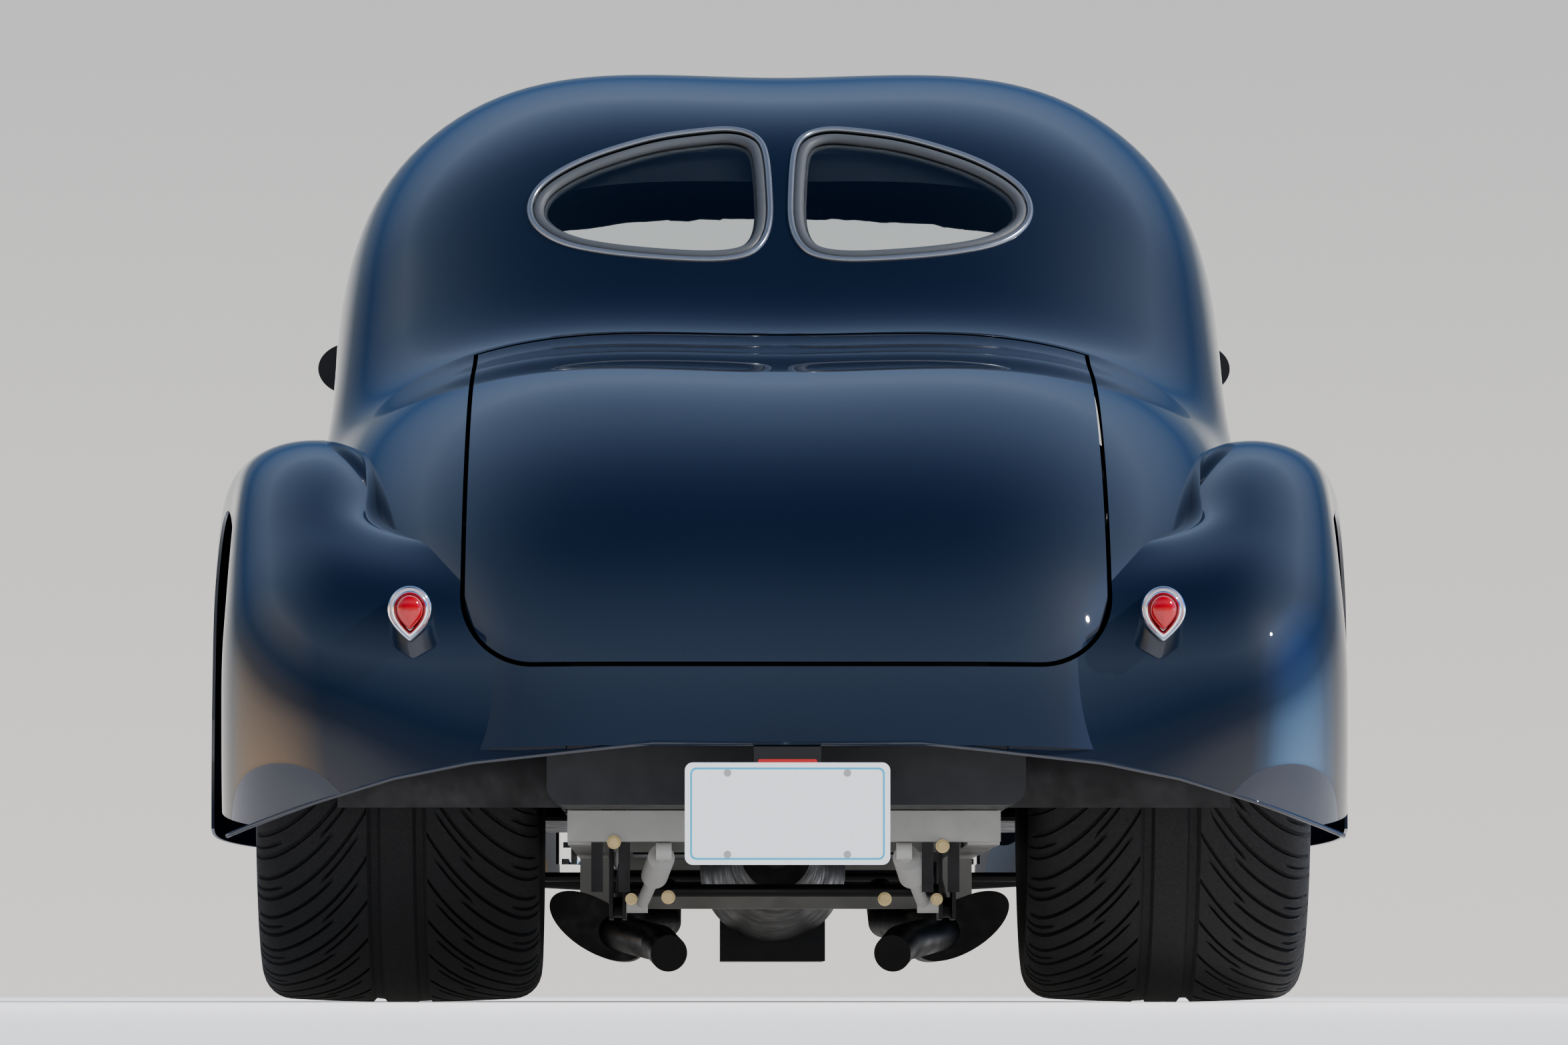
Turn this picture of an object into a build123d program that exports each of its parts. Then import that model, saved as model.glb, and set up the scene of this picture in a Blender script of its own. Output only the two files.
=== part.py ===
from build123d import *
import math
import os

# Street rod coupe in the early-1940s manner. Millimetres, +Y forward, +X the right-hand side, +Z up,
# the floor at Z 0 and the middle of the car's length at Y 0.

# Wheels and stance
WHEELBASE = 2642.0
REAR_AXLE_Y = -1225.0
FRONT_AXLE_Y = REAR_AXLE_Y + WHEELBASE
REAR_TYRE_R = 368.0
REAR_TYRE_W = 440.0
REAR_WHEEL_X = 600.0
REAR_RIM_R = 194.0
FRONT_TYRE_R = 325.0
FRONT_TYRE_W = 195.0
FRONT_WHEEL_X = 660.0
FRONT_RIM_R = 192.0
RIM_WALL = 9.0
BEAD_GAP = 0.2
HUB_R = 62.0
HUB_BORE = 20.0
FRONT_HUB_X = 40.0
REAR_HUB_X = 60.0
SPINDLE_R = 24.0
FIT = 0.05

# Body
SILL_Z = 240.0
FAN_Y = -500.0
ROCKER_Y = -640.0
SIDE_WALL = 55.0
ROOF_WALL = 35.0
FENDER_WALL = 16.0
NOSE_WALL = 26.0
SHUT_GAP = 7.0
SEAT_GAP = 0.3
SEAM_GAP = 0.6
FLOOR_SEAM = 0.6
GLASS = 6.0

# Sections of cab and tail. The plane of each stands on the sill line at base y and leans back to its
# tilt: base y, tilt deg, then across and up along the plane for the base, belt, rail and shoulder, then
# the height of the top at the middle.
BODY_ROWS = [
    (640.0, 90, 690, 0, 682, 740, 572, 1000, 400, 1100, 1130),
    (330, 90, 715, 0, 720, 730, 618, 1118, 460, 1222, 1262),
    (-150, 90, 730, 0, 742, 710, 650, 1142, 500, 1272, 1318),
    (FAN_Y, 90, 735, 0, 742, 705, 642, 1128, 480, 1248, 1292),
    (FAN_Y, 77, 740, 120, 740, 720, 626, 1058, 452, 1166, 1212),
    (FAN_Y, 62, 740, 260, 738, 740, 660, 895, 450, 1036, 1072),
    (FAN_Y, 52, 735, 400, 735, 770, 695, 860, 440, 1030, 1054),
    (FAN_Y, 41, 725, 560, 722, 880, 680, 980, 440, 1155, 1180),
    (FAN_Y, 34.5, 719, 671, 714, 968, 668, 1082, 442, 1257, 1288),
    (FAN_Y, 28, 712, 800, 708, 1060, 660, 1180, 440, 1360, 1398),
    (FAN_Y, 21.5, 705, 934, 700, 1149, 649, 1276, 435, 1466, 1508),
    (FAN_Y, 15, 700, 1050, 695, 1220, 640, 1350, 430, 1548, 1590),
    (FAN_Y, 10, 699, 1117, 694, 1257, 639, 1383, 429, 1579, 1621),
    (FAN_Y, 5, 700, 1180, 695, 1290, 640, 1410, 430, 1600, 1642),
]
BODY_WALLS = [SIDE_WALL, SIDE_WALL, 45.0, ROOF_WALL]

# Sections of the nose, upright: y, then across and height of the foot, side and shoulder, then the top.
NOSE_ROWS = [
    (500, 680, 470, 664, 905, 482, 1052, 1097),
    (650, 668, 480, 652, 900, 468, 1046, 1090),
    (1000, 562, 600, 552, 880, 390, 1010, 1062),
    (1400, 440, 600, 434, 840, 310, 975, 1030),
    (1800, 315, 590, 311, 800, 225, 925, 985),
    (2020, 215, 590, 211, 750, 150, 850, 895),
    (2110, 140, 592, 134, 700, 88, 772, 802),
    (2165, 80, 594, 76, 650, 50, 694, 712),
]
BODY_FRONT_Y = 640.0
HOOD_REAR_Y = BODY_FRONT_Y + SHUT_GAP
HOOD_FRONT_Y = 1960.0
HOOD_SIDE_Z = 815.0
LEDGE_X = 430.0
LEDGE_Z = 985.0

# Fender sections fan about the wheel's axle: angle from forward up and back, then across and radius of
# the foot on the body, the crown, the outer side and the lip of the wheel opening.
REAR_FENDER_ROWS = [
    (-12, 715, 600, 835, 565, 918, 490, 926, 415),
    (10, 715, 600, 832, 560, 918, 488, 926, 415),
    (25, 707, 586, 827, 550, 915, 485, 923, 414),
    (40, 700, 560, 818, 535, 910, 478, 918, 412),
    (55, 697, 527, 801, 521, 902, 472, 909, 411),
    (70, 690, 500, 775, 512, 890, 468, 898, 410),
    (85, 671, 491, 740, 510, 873, 467, 886, 410),
    (100, 650, 500, 712, 522, 856, 478, 874, 412),
    (112, 638, 520, 703, 548, 846, 501, 866, 415),
    (125, 625, 548, 702, 588, 838, 535, 860, 418),
    (135, 608, 567, 701, 621, 835, 560, 858, 419),
    (145, 575, 608, 700, 665, 834, 590, 857, 422),
    (155, 514, 703, 701, 734, 835, 632, 856, 426),
    (165, 440, 818, 705, 796, 838, 665, 856, 425),
    (173, 411, 855, 708, 809, 839, 667, 856, 422),
    (181, 402, 867, 710, 809, 840, 661, 856, 421),
    (188, 400, 880, 712, 812, 840, 660, 856, 425),
]
# The rear fender's lower edge, seen from behind
FENDER_TRIM = [(200, 386), (472, 358), (589, 335), (705, 300), (816, 262), (980, 200), (980, 0), (200, 0)]
FRONT_FENDER_ROWS = [
    (-8, 400, 640, 640, 712, 830, 620, 872, 385),
    (20, 380, 620, 640, 728, 832, 620, 875, 385),
    (45, 300, 520, 660, 640, 840, 545, 878, 385),
    (70, 370, 430, 680, 556, 855, 492, 882, 385),
    (95, 425, 405, 700, 530, 865, 480, 885, 385),
    (120, 480, 460, 720, 535, 870, 482, 887, 385),
    (145, 570, 650, 760, 590, 875, 500, 888, 385),
    (165, 650, 775, 800, 660, 880, 540, 889, 385),
    (184, 690, 774, 830, 700, 886, 600, 890, 385),
]

# Openings in the body
DOOR_FRONT_Y = 545.0
DOOR_REAR_Y = -420.0
DOOR_BOTTOM_Z = 300.0
DOOR_TOP_Z = 1392.0
WINDOW_BOTTOM_Z = 1015.0
WINDOW_RAIL = 46.0
SCREEN_BASE_Y = 548.0
SCREEN_BASE_Z = 1078.0
SCREEN_TOP_Y = 235.0
SCREEN_TOP_Z = 1475.0
COWL_Z = 985.0
LID_X = 485.0
LID_BOTTOM_Z = 509.0
LID_CORNER = 105.0
LID_TILT = 51.0
LID_REST_X = 170.0
LID_REST_GAP = 0.5
TUB_R = 390.0
TUB_WALL = 5.0
TUB_X = 345.0

# Ends of the car
TAIL_Y = -2190.0
NOSE_Y = 2190.0

# Lamps, grille, plate and mirrors
GRILLE_BACK_Y = 1945.0
GRILLE_BOTTOM_Z = 262.0
GRILLE_TOP_Z = 588.0
GRILLE_PITCH = 32.0
GRILLE_BAR = 11.0
GRILLE_DEPTH = 14.0
CHEEK_X = 400.0
CHEEK_WALL = 6.0
HEAD_LAMP_X = 645.0
HEAD_LAMP_Y = 2112.0
HEAD_LAMP_Z = 620.0
HEAD_LAMP_R = 92.0
TAIL_LAMP_X = 565.0
TAIL_LAMP_Y = -2068.0
TAIL_LAMP_Z = 588.0
TAIL_LAMP_W = 65.0
TAIL_LAMP_H = 84.0
PLATE_W = 305.0
PLATE_H = 152.0
PLATE_Z = 204.0
PLATE_HOLE_X = 178.0
PLATE_HOLE_Z = 121.0
PLATE_HOLE_R = 3.5
MIRROR_X = 740.0
MIRROR_Y = 380.0
MIRROR_Z = 1112.0
MIRROR_FOOT_Z = 975.0
MIRROR_W = 124.0
MIRROR_H = 92.0
MIRROR_DEPTH = 44.0

# Floor and running boards
FLOOR_WALL = 8.0
FIREWALL_Y = 600.0
FIREWALL_Z = 940.0
TUNNEL_X = 150.0
TUNNEL_Z = 380.0
STEP_Y = -760.0
BOOT_Z = LID_BOTTOM_Z - SHUT_GAP - 4.0
BOOT_REAR_Y = -2044.0
LID_REST_Y = BOOT_REAR_Y - 3.0
SEAT_Z = 400.0
BOARD_X = 884.0
BOARD_Z = 260.0
BOARD_H = 28.0
BOARD_GAP = 3.0

# Chassis
RAIL_X = 310.0
RAIL_W = 50.0
RAIL_Z = 244.0
RAIL_H = 56.0
RAIL_REAR_Y = -1560.0
RAIL_FRONT_Y = 1960.0
FLOOR_Z = RAIL_Z + RAIL_H + SEAT_GAP
GEARBOX_SEAT_Z = 184.6
REAR_DRUM_X = 400.0
BRACKET_Z = 130.0
TANK_X = 361.0
TANK_Z = 297.0
STEER_HUB = (-350.0, 190.0, 905.0)
AXLE_TUBE_R = 38.0
AXLE_NOSE = 200.0
GEARBOX_REAR_Y = -60.0
SHAFT_Z = 252.0
KINGPIN_X = 572.0
KINGPIN_R = 14.0
TIE_ROD_BACK = 112.0


def rounded(points, place):
    """One smooth curve through flat points, set in space by place."""
    return [Spline(*[place(p) for p in points])]


def inset(points, walls):
    """The outline moved to its right-hand side, square to itself, by the wall at each point."""
    inner = []
    last = len(points) - 1
    for i, (a, b) in enumerate(points):
        (pa, pb), (qa, qb) = points[max(i - 1, 0)], points[min(i + 1, last)]
        length = math.hypot(qa - pa, qb - pb)
        inner.append((a + (qb - pb) / length * walls[i], b - (qa - pa) / length * walls[i]))
    return inner


def wall_section(points, walls, place):
    """The face between an outline and its inset."""
    inner = inset(points, walls)
    ends = [Line(place(inner[0]), place(points[0])), Line(place(points[-1]), place(inner[-1]))]
    return Face(Wire(rounded(points, place) + ends + rounded(inner[::-1], place)))


def full_section(points, place):
    """The face between an outline and the straight line that joins its feet."""
    return Face(Wire(rounded(points, place) + [Line(place(points[-1]), place(points[0]))]))


def mirrored(half, top):
    """A symmetric arch from the left foot to the right one, from its right-hand points and its top."""
    return [(-x, z) for x, z in half] + [top] + list(reversed(half))


def body_outline(row, walls=None):
    half = [(row[i], row[i + 1]) for i in (2, 4, 6, 8)]
    points = mirrored(half, (0.0, row[10]))
    return inset(points, mirrored_walls(walls)) if walls else points


def mirrored_walls(walls):
    return walls + [walls[-1]] + list(reversed(walls))


def body_place(row):
    tilt = math.radians(row[1])
    return lambda p: Vector(p[0], row[0] - p[1] * math.cos(tilt), SILL_Z + p[1] * math.sin(tilt))


def body_loft(section):
    """The cab ahead of the fan line and the tail behind it, each one smooth loft of its sections."""
    split = [row[0] for row in BODY_ROWS].index(FAN_Y)
    return loft([section(row) for row in BODY_ROWS[: split + 1]]) + loft(
        [section(row) for row in BODY_ROWS[split:]]
    )


def body_ring():
    """The wall of cab and tail, with the rocker's corner ahead of the rear wheel."""
    walls = mirrored_walls(BODY_WALLS)
    ring = body_loft(lambda row: wall_section(body_outline(row), walls, body_place(row)))
    corner = side_prism([(FAN_Y + 5, SILL_Z), (ROCKER_Y, SILL_Z), (ROCKER_Y, 480), (FAN_Y + 5, 480)], -900, 900)
    x = BODY_ROWS[4][2]
    corner = corner & block(x - SIDE_WALL, x, ROCKER_Y, FAN_Y + 5, 0, 600)
    return ring + corner + mirror_x(corner)


def body_solid(walls=None):
    """Cab and tail as a solid, its skin moved in by the walls."""
    return body_loft(lambda row: full_section(body_outline(row, walls), body_place(row)))


def nose_outline(row):
    half = [(row[i], row[i + 1]) for i in (1, 3, 5)]
    return mirrored(half, (0.0, row[7]))


def nose_place(row):
    return lambda p: Vector(p[0], row[0], p[1])


def nose_ring():
    walls = [NOSE_WALL] * 7
    return loft([wall_section(nose_outline(row), walls, nose_place(row)) for row in NOSE_ROWS])


def nose_slice(depth, thick):
    """A slice of the nose's wall, from depth below its skin."""
    outlines = [inset(nose_outline(row), [depth] * 7) for row in NOSE_ROWS]
    return loft(
        [wall_section(points, [thick] * 7, nose_place(row)) for points, row in zip(outlines, NOSE_ROWS)]
    )


def nose_solid(wall):
    """The nose as a solid, its skin moved in by the wall."""
    outlines = [inset(nose_outline(row), [wall] * 7) for row in NOSE_ROWS]
    return loft([full_section(points, nose_place(row)) for points, row in zip(outlines, NOSE_ROWS)])


def fender(rows, axle_y, axle_z, side):
    """A fan of arches about the axle, open below and at the wheel opening."""
    faces = []
    for row in rows:
        turn = math.radians(row[0])
        points = [(row[i], row[i + 1]) for i in (1, 3, 5, 7)]

        def place(p, turn=turn):
            return Vector(side * p[0], axle_y + p[1] * math.cos(turn), axle_z + p[1] * math.sin(turn))

        faces.append(wall_section(points, [FENDER_WALL] * 4, place))
    return loft(faces)


def side_prism(points, x0, x1):
    """A side-view outline of (y, z) points carried across from x0 to x1."""
    face = Face(Wire.make_polygon([Vector(x0, y, z) for y, z in points], close=True))
    return extrude(face, amount=x1 - x0, dir=(1, 0, 0))


def rear_prism(wire_points, radii, y0, y1):
    """A rear-view outline of (x, z) points with rounded corners carried along from y0 to y1."""
    outline = FilletPolyline(*[Vector(x, y0, z) for x, z in wire_points], radius=radii, close=True)
    return extrude(Face(Wire(outline.edges())), amount=y1 - y0, dir=(0, 1, 0))


def block(x0, x1, y0, y1, z0, z1):
    size = (x1 - x0, y1 - y0, z1 - z0)
    return Pos((x0 + x1) / 2, (y0 + y1) / 2, (z0 + z1) / 2) * Box(*size)


def rod(start, end, radius):
    """A round bar between two points."""
    a, b = Vector(*start), Vector(*end)
    return extrude(Plane(origin=a, z_dir=b - a) * Circle(radius), amount=(b - a).length)


def x_cylinder(x0, x1, y, z, radius):
    return rod((x0, y, z), (x1, y, z), radius)


def screen_y(z):
    slope = (SCREEN_TOP_Y - SCREEN_BASE_Y) / (SCREEN_TOP_Z - SCREEN_BASE_Z)
    return SCREEN_BASE_Y + (z - SCREEN_BASE_Z) * slope


def door_region(grow):
    """The door's side view: grow widens it past the door's own edge."""
    front = DOOR_FRONT_Y + grow
    lean = 62.0
    points = [
        (DOOR_REAR_Y - grow, DOOR_BOTTOM_Z - grow),
        (front, DOOR_BOTTOM_Z - grow),
        (front, COWL_Z + 10),
        (screen_y(DOOR_TOP_Z) - lean + grow, DOOR_TOP_Z + grow),
        (DOOR_REAR_Y + 60 - grow, DOOR_TOP_Z + grow),
        (DOOR_REAR_Y - grow, DOOR_TOP_Z - 130),
    ]
    return points


def door_window_region(grow):
    y_rear = DOOR_REAR_Y + WINDOW_RAIL + 22
    y_top = screen_y(DOOR_TOP_Z) - 62 - WINDOW_RAIL
    top = DOOR_TOP_Z - WINDOW_RAIL
    return [
        (y_rear - grow, WINDOW_BOTTOM_Z - grow),
        (DOOR_FRONT_Y - 110 + grow, WINDOW_BOTTOM_Z - grow),
        (y_top + grow, top + grow),
        (y_rear + 40 - grow, top + grow),
        (y_rear - grow, top - 80),
    ]


def lid_region(grow):
    """The deck lid's rear view, behind the plane of the fan that its front edge lies in."""
    x = LID_X + grow
    z = LID_BOTTOM_Z - grow
    face = rear_prism(
        [(-x, z), (x, z), (x, 1400), (-x, 1400)],
        [LID_CORNER, LID_CORNER, 20, 20],
        -2400,
        FAN_Y - 200,
    )
    tilt = math.radians(LID_TILT)
    start = grow / 1000.0
    behind = side_prism(
        [
            (FAN_Y, SILL_Z),
            (FAN_Y - 2500 * math.cos(tilt + start), SILL_Z + 2500 * math.sin(tilt + start)),
            (FAN_Y - 2600, SILL_Z + 300),
            (FAN_Y - 2600, SILL_Z),
        ],
        -600,
        600,
    )
    return face & behind


REAR_WINDOW = [(12, 1192), (335, 1204), (428, 1262), (385, 1362), (12, 1420)]
REAR_WINDOW_ROUND = [30, 85, 42, 100, 34]


def rear_window_region(side, grow):
    """One teardrop pane, seen from behind, as far out as its rubber seal."""
    points = [Vector(side * x, 0, z) for x, z in REAR_WINDOW]
    outline = FilletPolyline(*points, radius=REAR_WINDOW_ROUND, close=True)
    face = Face(Wire(outline.edges()))
    if face.normal_at().Y > 0:
        face = -face
    if grow:
        face = offset(face, amount=grow).faces()[0]
    return extrude(Pos(0, FAN_Y - 120, 0) * face, amount=650, dir=(0, -1, 0))


def pane(region, depth):
    """A curved pane: the slice of the body's wall, depth below the skin, that fills a window."""

    def section(row):
        outline = body_outline(row, [depth] * 4)
        return wall_section(outline, [GLASS] * len(outline), body_place(row))

    return largest(body_loft(section) & region)


def largest(shape):
    """The largest solid of a cut that leaves scraps."""
    return max(shape.solids(), key=lambda solid: solid.volume)


def mirror_x(shape):
    return mirror(shape, about=Plane.YZ)


def joined(shapes):
    """Shapes that share a node."""
    solids = [solid for shape in shapes for solid in shape.solids()]
    return Compound(children=solids)


def cab():
    """Cab and tail, the doors and the deck lid cut from one wall, with their glass."""
    ring = body_ring()
    screen_cut = side_prism(
        [(screen_y(COWL_Z), COWL_Z), (screen_y(1700), 1700), (900, 1700), (900, COWL_Z)], -900, 900
    )
    wheel_cut = x_cylinder(-900, 900, REAR_AXLE_Y, REAR_TYRE_R, TUB_R + TUB_WALL + SEAT_GAP)
    wheel_cut -= block(-TUB_X, TUB_X, -3000, 0, -100, 2000)
    lamp_cut = tail_lamp_prism(SEAT_GAP)
    cowl = nose_ring()
    cowl = (cowl & block(-630, 630, 525, BODY_FRONT_Y, COWL_Z - 60, 1300)) + (
        cowl & block(-700, 700, 556, BODY_FRONT_Y, COWL_Z - 120, 1300)
    )
    cowl += nose_slice(NOSE_WALL - 8, 12) & block(-LEDGE_X, LEDGE_X, 600, BODY_FRONT_Y, LEDGE_Z, 1300)
    ledge_x = LEDGE_X - 10
    cowl += nose_slice(NOSE_WALL + SEAT_GAP, 8) & block(-ledge_x, ledge_x, 615, HOOD_REAR_Y + 15, LEDGE_Z, 1300)
    post = (body_solid() & screen_slab(0, 26)) & block(-13, 13, 0, 900, 1060, 1500)
    shell = ring - screen_cut - lid_region(SHUT_GAP) - wheel_cut + cowl + post
    shell -= lamp_cut
    shell -= mirror_x(lamp_cut)
    parts = {}
    panes = []
    for side, name in ((-1, "left"), (1, "right")):
        x0, x1 = (300, 900) if side > 0 else (-900, -300)
        shell -= rear_window_region(side, 0)
        shell -= side_prism(door_region(SHUT_GAP), x0, x1)
        door = ring & side_prism(door_region(0), x0, x1)
        parts["door_" + name] = door - side_prism(door_window_region(0), x0, x1)
        window = side_prism(door_window_region(-SEAT_GAP), x0, x1)
        parts["door_glass_" + name] = pane(window, SIDE_WALL / 2 - GLASS)
        panes.append(pane(rear_window_region(side, -SEAT_GAP), 10.0))
    x0, x1 = LID_REST_X - 30, LID_REST_X + 30
    buffer = block(x0, x1, LID_REST_Y - 38, LID_REST_Y, LID_BOTTOM_Z - 40, LID_BOTTOM_Z + 22)
    buffer = largest(buffer - Pos(0, LID_REST_GAP, 0) * ring)
    buffer += block(x0, x1, LID_REST_Y - 42, LID_REST_Y, LID_BOTTOM_Z - 40, LID_BOTTOM_Z - SHUT_GAP - 6)
    shell = shell + buffer + mirror_x(buffer)
    parts["body_shell"] = shell
    parts["deck_lid"] = ring & lid_region(0)
    parts["rear_glass"] = joined(panes)
    inner = body_solid([w + 1.0 for w in BODY_WALLS])
    screen = (inner & screen_slab(8, 8 + GLASS)) - nose_solid(-SEAT_GAP)
    screen -= block(-13 - SEAT_GAP, 13 + SEAT_GAP, 0, 900, 900, 1600)
    parts["windscreen"] = joined([s for s in screen.solids() if s.bounding_box().max.Z > 1300])
    return parts


def screen_slab(near, far):
    """The slab behind the windscreen's plane, from near to far measured along the car."""
    return side_prism(
        [
            (screen_y(COWL_Z) - far, COWL_Z),
            (screen_y(COWL_Z) - near, COWL_Z),
            (screen_y(1600) - near, 1600),
            (screen_y(1600) - far, 1600),
        ],
        -900,
        900,
    )


def tail_lamp_prism(grow):
    """The right tail lamp's egg outline, pointed end down, carried through the wall."""
    x, z = TAIL_LAMP_X, TAIL_LAMP_Z
    w, up, down = TAIL_LAMP_W / 2 + grow, TAIL_LAMP_H * 0.42 + grow, TAIL_LAMP_H * 0.58 + grow
    points = [(x - w, z + up), (x + w, z + up), (x + w, z - 8), (x, z - down - 8), (x - w, z - 8)]
    return rear_prism(points, [w * 0.9, w * 0.9, 14, 8, 14], TAIL_LAMP_Y - 25, TAIL_LAMP_Y + 98)


def tail_lamps():
    """Chrome bezels with their raised lenses standing in them."""
    prism = tail_lamp_prism(0)
    bezel = prism & block(0, 900, TAIL_LAMP_Y, TAIL_LAMP_Y + 92, 0, 1000)
    pocket = rod(
        (TAIL_LAMP_X, TAIL_LAMP_Y - 30, TAIL_LAMP_Z + 4), (TAIL_LAMP_X, TAIL_LAMP_Y + 12, TAIL_LAMP_Z + 4), 21
    )
    bezel -= pocket
    lens = rod(
        (TAIL_LAMP_X, TAIL_LAMP_Y - 14, TAIL_LAMP_Z + 4),
        (TAIL_LAMP_X, TAIL_LAMP_Y + 12 - SEAT_GAP, TAIL_LAMP_Z + 4),
        21 - SEAT_GAP,
    )
    lens = fillet(lens.faces().sort_by(Axis.Y)[0].edges(), 9)
    return {
        "tail_lamp_bezels": joined([bezel, mirror_x(bezel)]),
        "tail_lamp_lenses": joined([lens, mirror_x(lens)]),
    }


def nose():
    """The hood, the fixed nose below it and the panel over the grille."""
    ring = nose_ring()
    hood = ring & block(-800, 800, HOOD_REAR_Y, HOOD_FRONT_Y, HOOD_SIDE_Z, 1300)
    fixed = ring - block(
        -800, 800, 0, HOOD_FRONT_Y + SHUT_GAP, HOOD_SIDE_Z - SHUT_GAP, 1300
    )
    fixed -= block(-900, 900, 0, BODY_FRONT_Y + SEAT_GAP, 0, 1500)
    panel = extrude(Plane.XY.offset(GRILLE_TOP_Z) * grille_outline(GRILLE_TOP_Z, 0), amount=8)
    cap = nose_solid(0) & block(-300, 300, NOSE_ROWS[-1][0] - NOSE_WALL, NOSE_Y, 0, 900)
    cheek = block(CHEEK_X, CHEEK_X + CHEEK_WALL, GRILLE_BACK_Y - 60, 2100, GRILLE_BOTTOM_Z, GRILLE_TOP_Z + 30)
    cheek -= fender(FRONT_FENDER_ROWS, FRONT_AXLE_Y, FRONT_TYRE_R, 1)
    cheek = largest(cheek)
    return {"hood": hood, "nose_shell": joined([fixed + panel + cap, cheek, mirror_x(cheek)])}


def grille_half_width(z):
    return 398.0 - max(0.0, z - 240.0) * 0.09


def grille_outline(z, shrink):
    """Half an ellipse that bows forward, seen from above."""
    a, b = grille_half_width(z) - shrink, NOSE_Y - GRILLE_BACK_Y - shrink
    oval = Pos(0, GRILLE_BACK_Y) * Ellipse(a, b)
    return oval & Pos(0, GRILLE_BACK_Y + b) * Rectangle(2 * a + 2, 2 * b)


def grille():
    """Bowed horizontal bars on a centre keel and two end posts."""
    bars = []
    z = GRILLE_BOTTOM_Z
    while z < GRILLE_TOP_Z - GRILLE_BAR:
        outline = grille_outline(z, 0) - grille_outline(z, GRILLE_DEPTH)
        bars.append(extrude(Plane.XY.offset(z) * outline, amount=GRILLE_BAR))
        z += GRILLE_PITCH
    keel = block(-5, 5, NOSE_Y - 34, NOSE_Y - 6, GRILLE_BOTTOM_Z, GRILLE_TOP_Z - SEAT_GAP)
    ends = [
        block(side * 372 - 6, side * 372 + 6, GRILLE_BACK_Y, GRILLE_BACK_Y + 14, GRILLE_BOTTOM_Z,
              GRILLE_TOP_Z - SEAT_GAP)
        for side in (-1, 1)
    ]
    whole = bars[0]
    for piece in bars[1:] + [keel] + ends:
        whole += piece
    return {"grille": whole}


def fenders():
    """Teardrop fenders front and rear, set against body and nose."""
    body = body_solid([-SEAM_GAP] * 4)
    nose_block = nose_solid(-SEAM_GAP)
    rocker = block(0, BODY_ROWS[4][2] + SEAM_GAP, ROCKER_Y - SEAM_GAP, FAN_Y + 5, 0, 600)
    rear = fender(REAR_FENDER_ROWS, REAR_AXLE_Y, REAR_TYRE_R, 1) - body - rocker
    trim = Face(
        Wire.make_polygon(
            [Vector(x, -2600, z) for x, z in FENDER_TRIM],
            close=True,
        )
    )
    rear -= extrude(trim, amount=900, dir=(0, 1, 0))
    rear -= tail_lamp_prism(SEAT_GAP)
    rear -= lid_region(SHUT_GAP)
    rear -= block(700, BODY_ROWS[4][2] + SEAM_GAP, ROCKER_Y - 32, FAN_Y, 478, 512)
    rear = largest(rear)
    front = fender(FRONT_FENDER_ROWS, FRONT_AXLE_Y, FRONT_TYRE_R, 1) - nose_block - body
    front -= rod((HEAD_LAMP_X, 1900, HEAD_LAMP_Z), (HEAD_LAMP_X, 2300, HEAD_LAMP_Z), HEAD_LAMP_R + SEAT_GAP)
    front -= block(0, 900, 0, BODY_FRONT_Y + SEAT_GAP, 0, 900)
    front -= block(0, NOSE_ROWS[1][1] + 2, 0, BODY_FRONT_Y + 40, NOSE_ROWS[1][2] - 4, NOSE_ROWS[1][2] + 16)
    front -= extrude(
        Plane.XY.offset(0) * (Pos(0, GRILLE_BACK_Y) * Ellipse(400.5, NOSE_Y - GRILLE_BACK_Y + 1)), amount=620
    )
    front = largest(front)
    board = block(500, BOARD_X, -840, 800, BOARD_Z, BOARD_Z + BOARD_H) - body
    board -= rocker
    board -= block(0, BODY_ROWS[4][2] + 32, -900, ROCKER_Y, 0, 600)
    board -= block(0, BODY_ROWS[0][2] + 16, BODY_FRONT_Y, 900, 0, 600)
    board -= fender_solid(REAR_FENDER_ROWS, REAR_AXLE_Y, REAR_TYRE_R)
    board -= fender_solid(FRONT_FENDER_ROWS, FRONT_AXLE_Y, FRONT_TYRE_R)
    board = largest(board)
    return {
        "rear_fenders": joined([rear, mirror_x(rear)]),
        "front_fenders": joined([front, mirror_x(front)]),
        "running_boards": joined([board, mirror_x(board)]),
    }


def fender_solid(rows, axle_y, axle_z):
    """The room that a right-hand fender takes, the board's gap larger than its skin."""
    faces = []
    for row in rows:
        turn = math.radians(row[0])
        points = inset([(row[i], row[i + 1]) for i in (1, 3, 5, 7)], [-BOARD_GAP] * 4)

        def place(p, turn=turn):
            return Vector(p[0], axle_y + p[1] * math.cos(turn), axle_z + p[1] * math.sin(turn))

        faces.append(full_section(points, place))
    return loft(faces)


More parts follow.
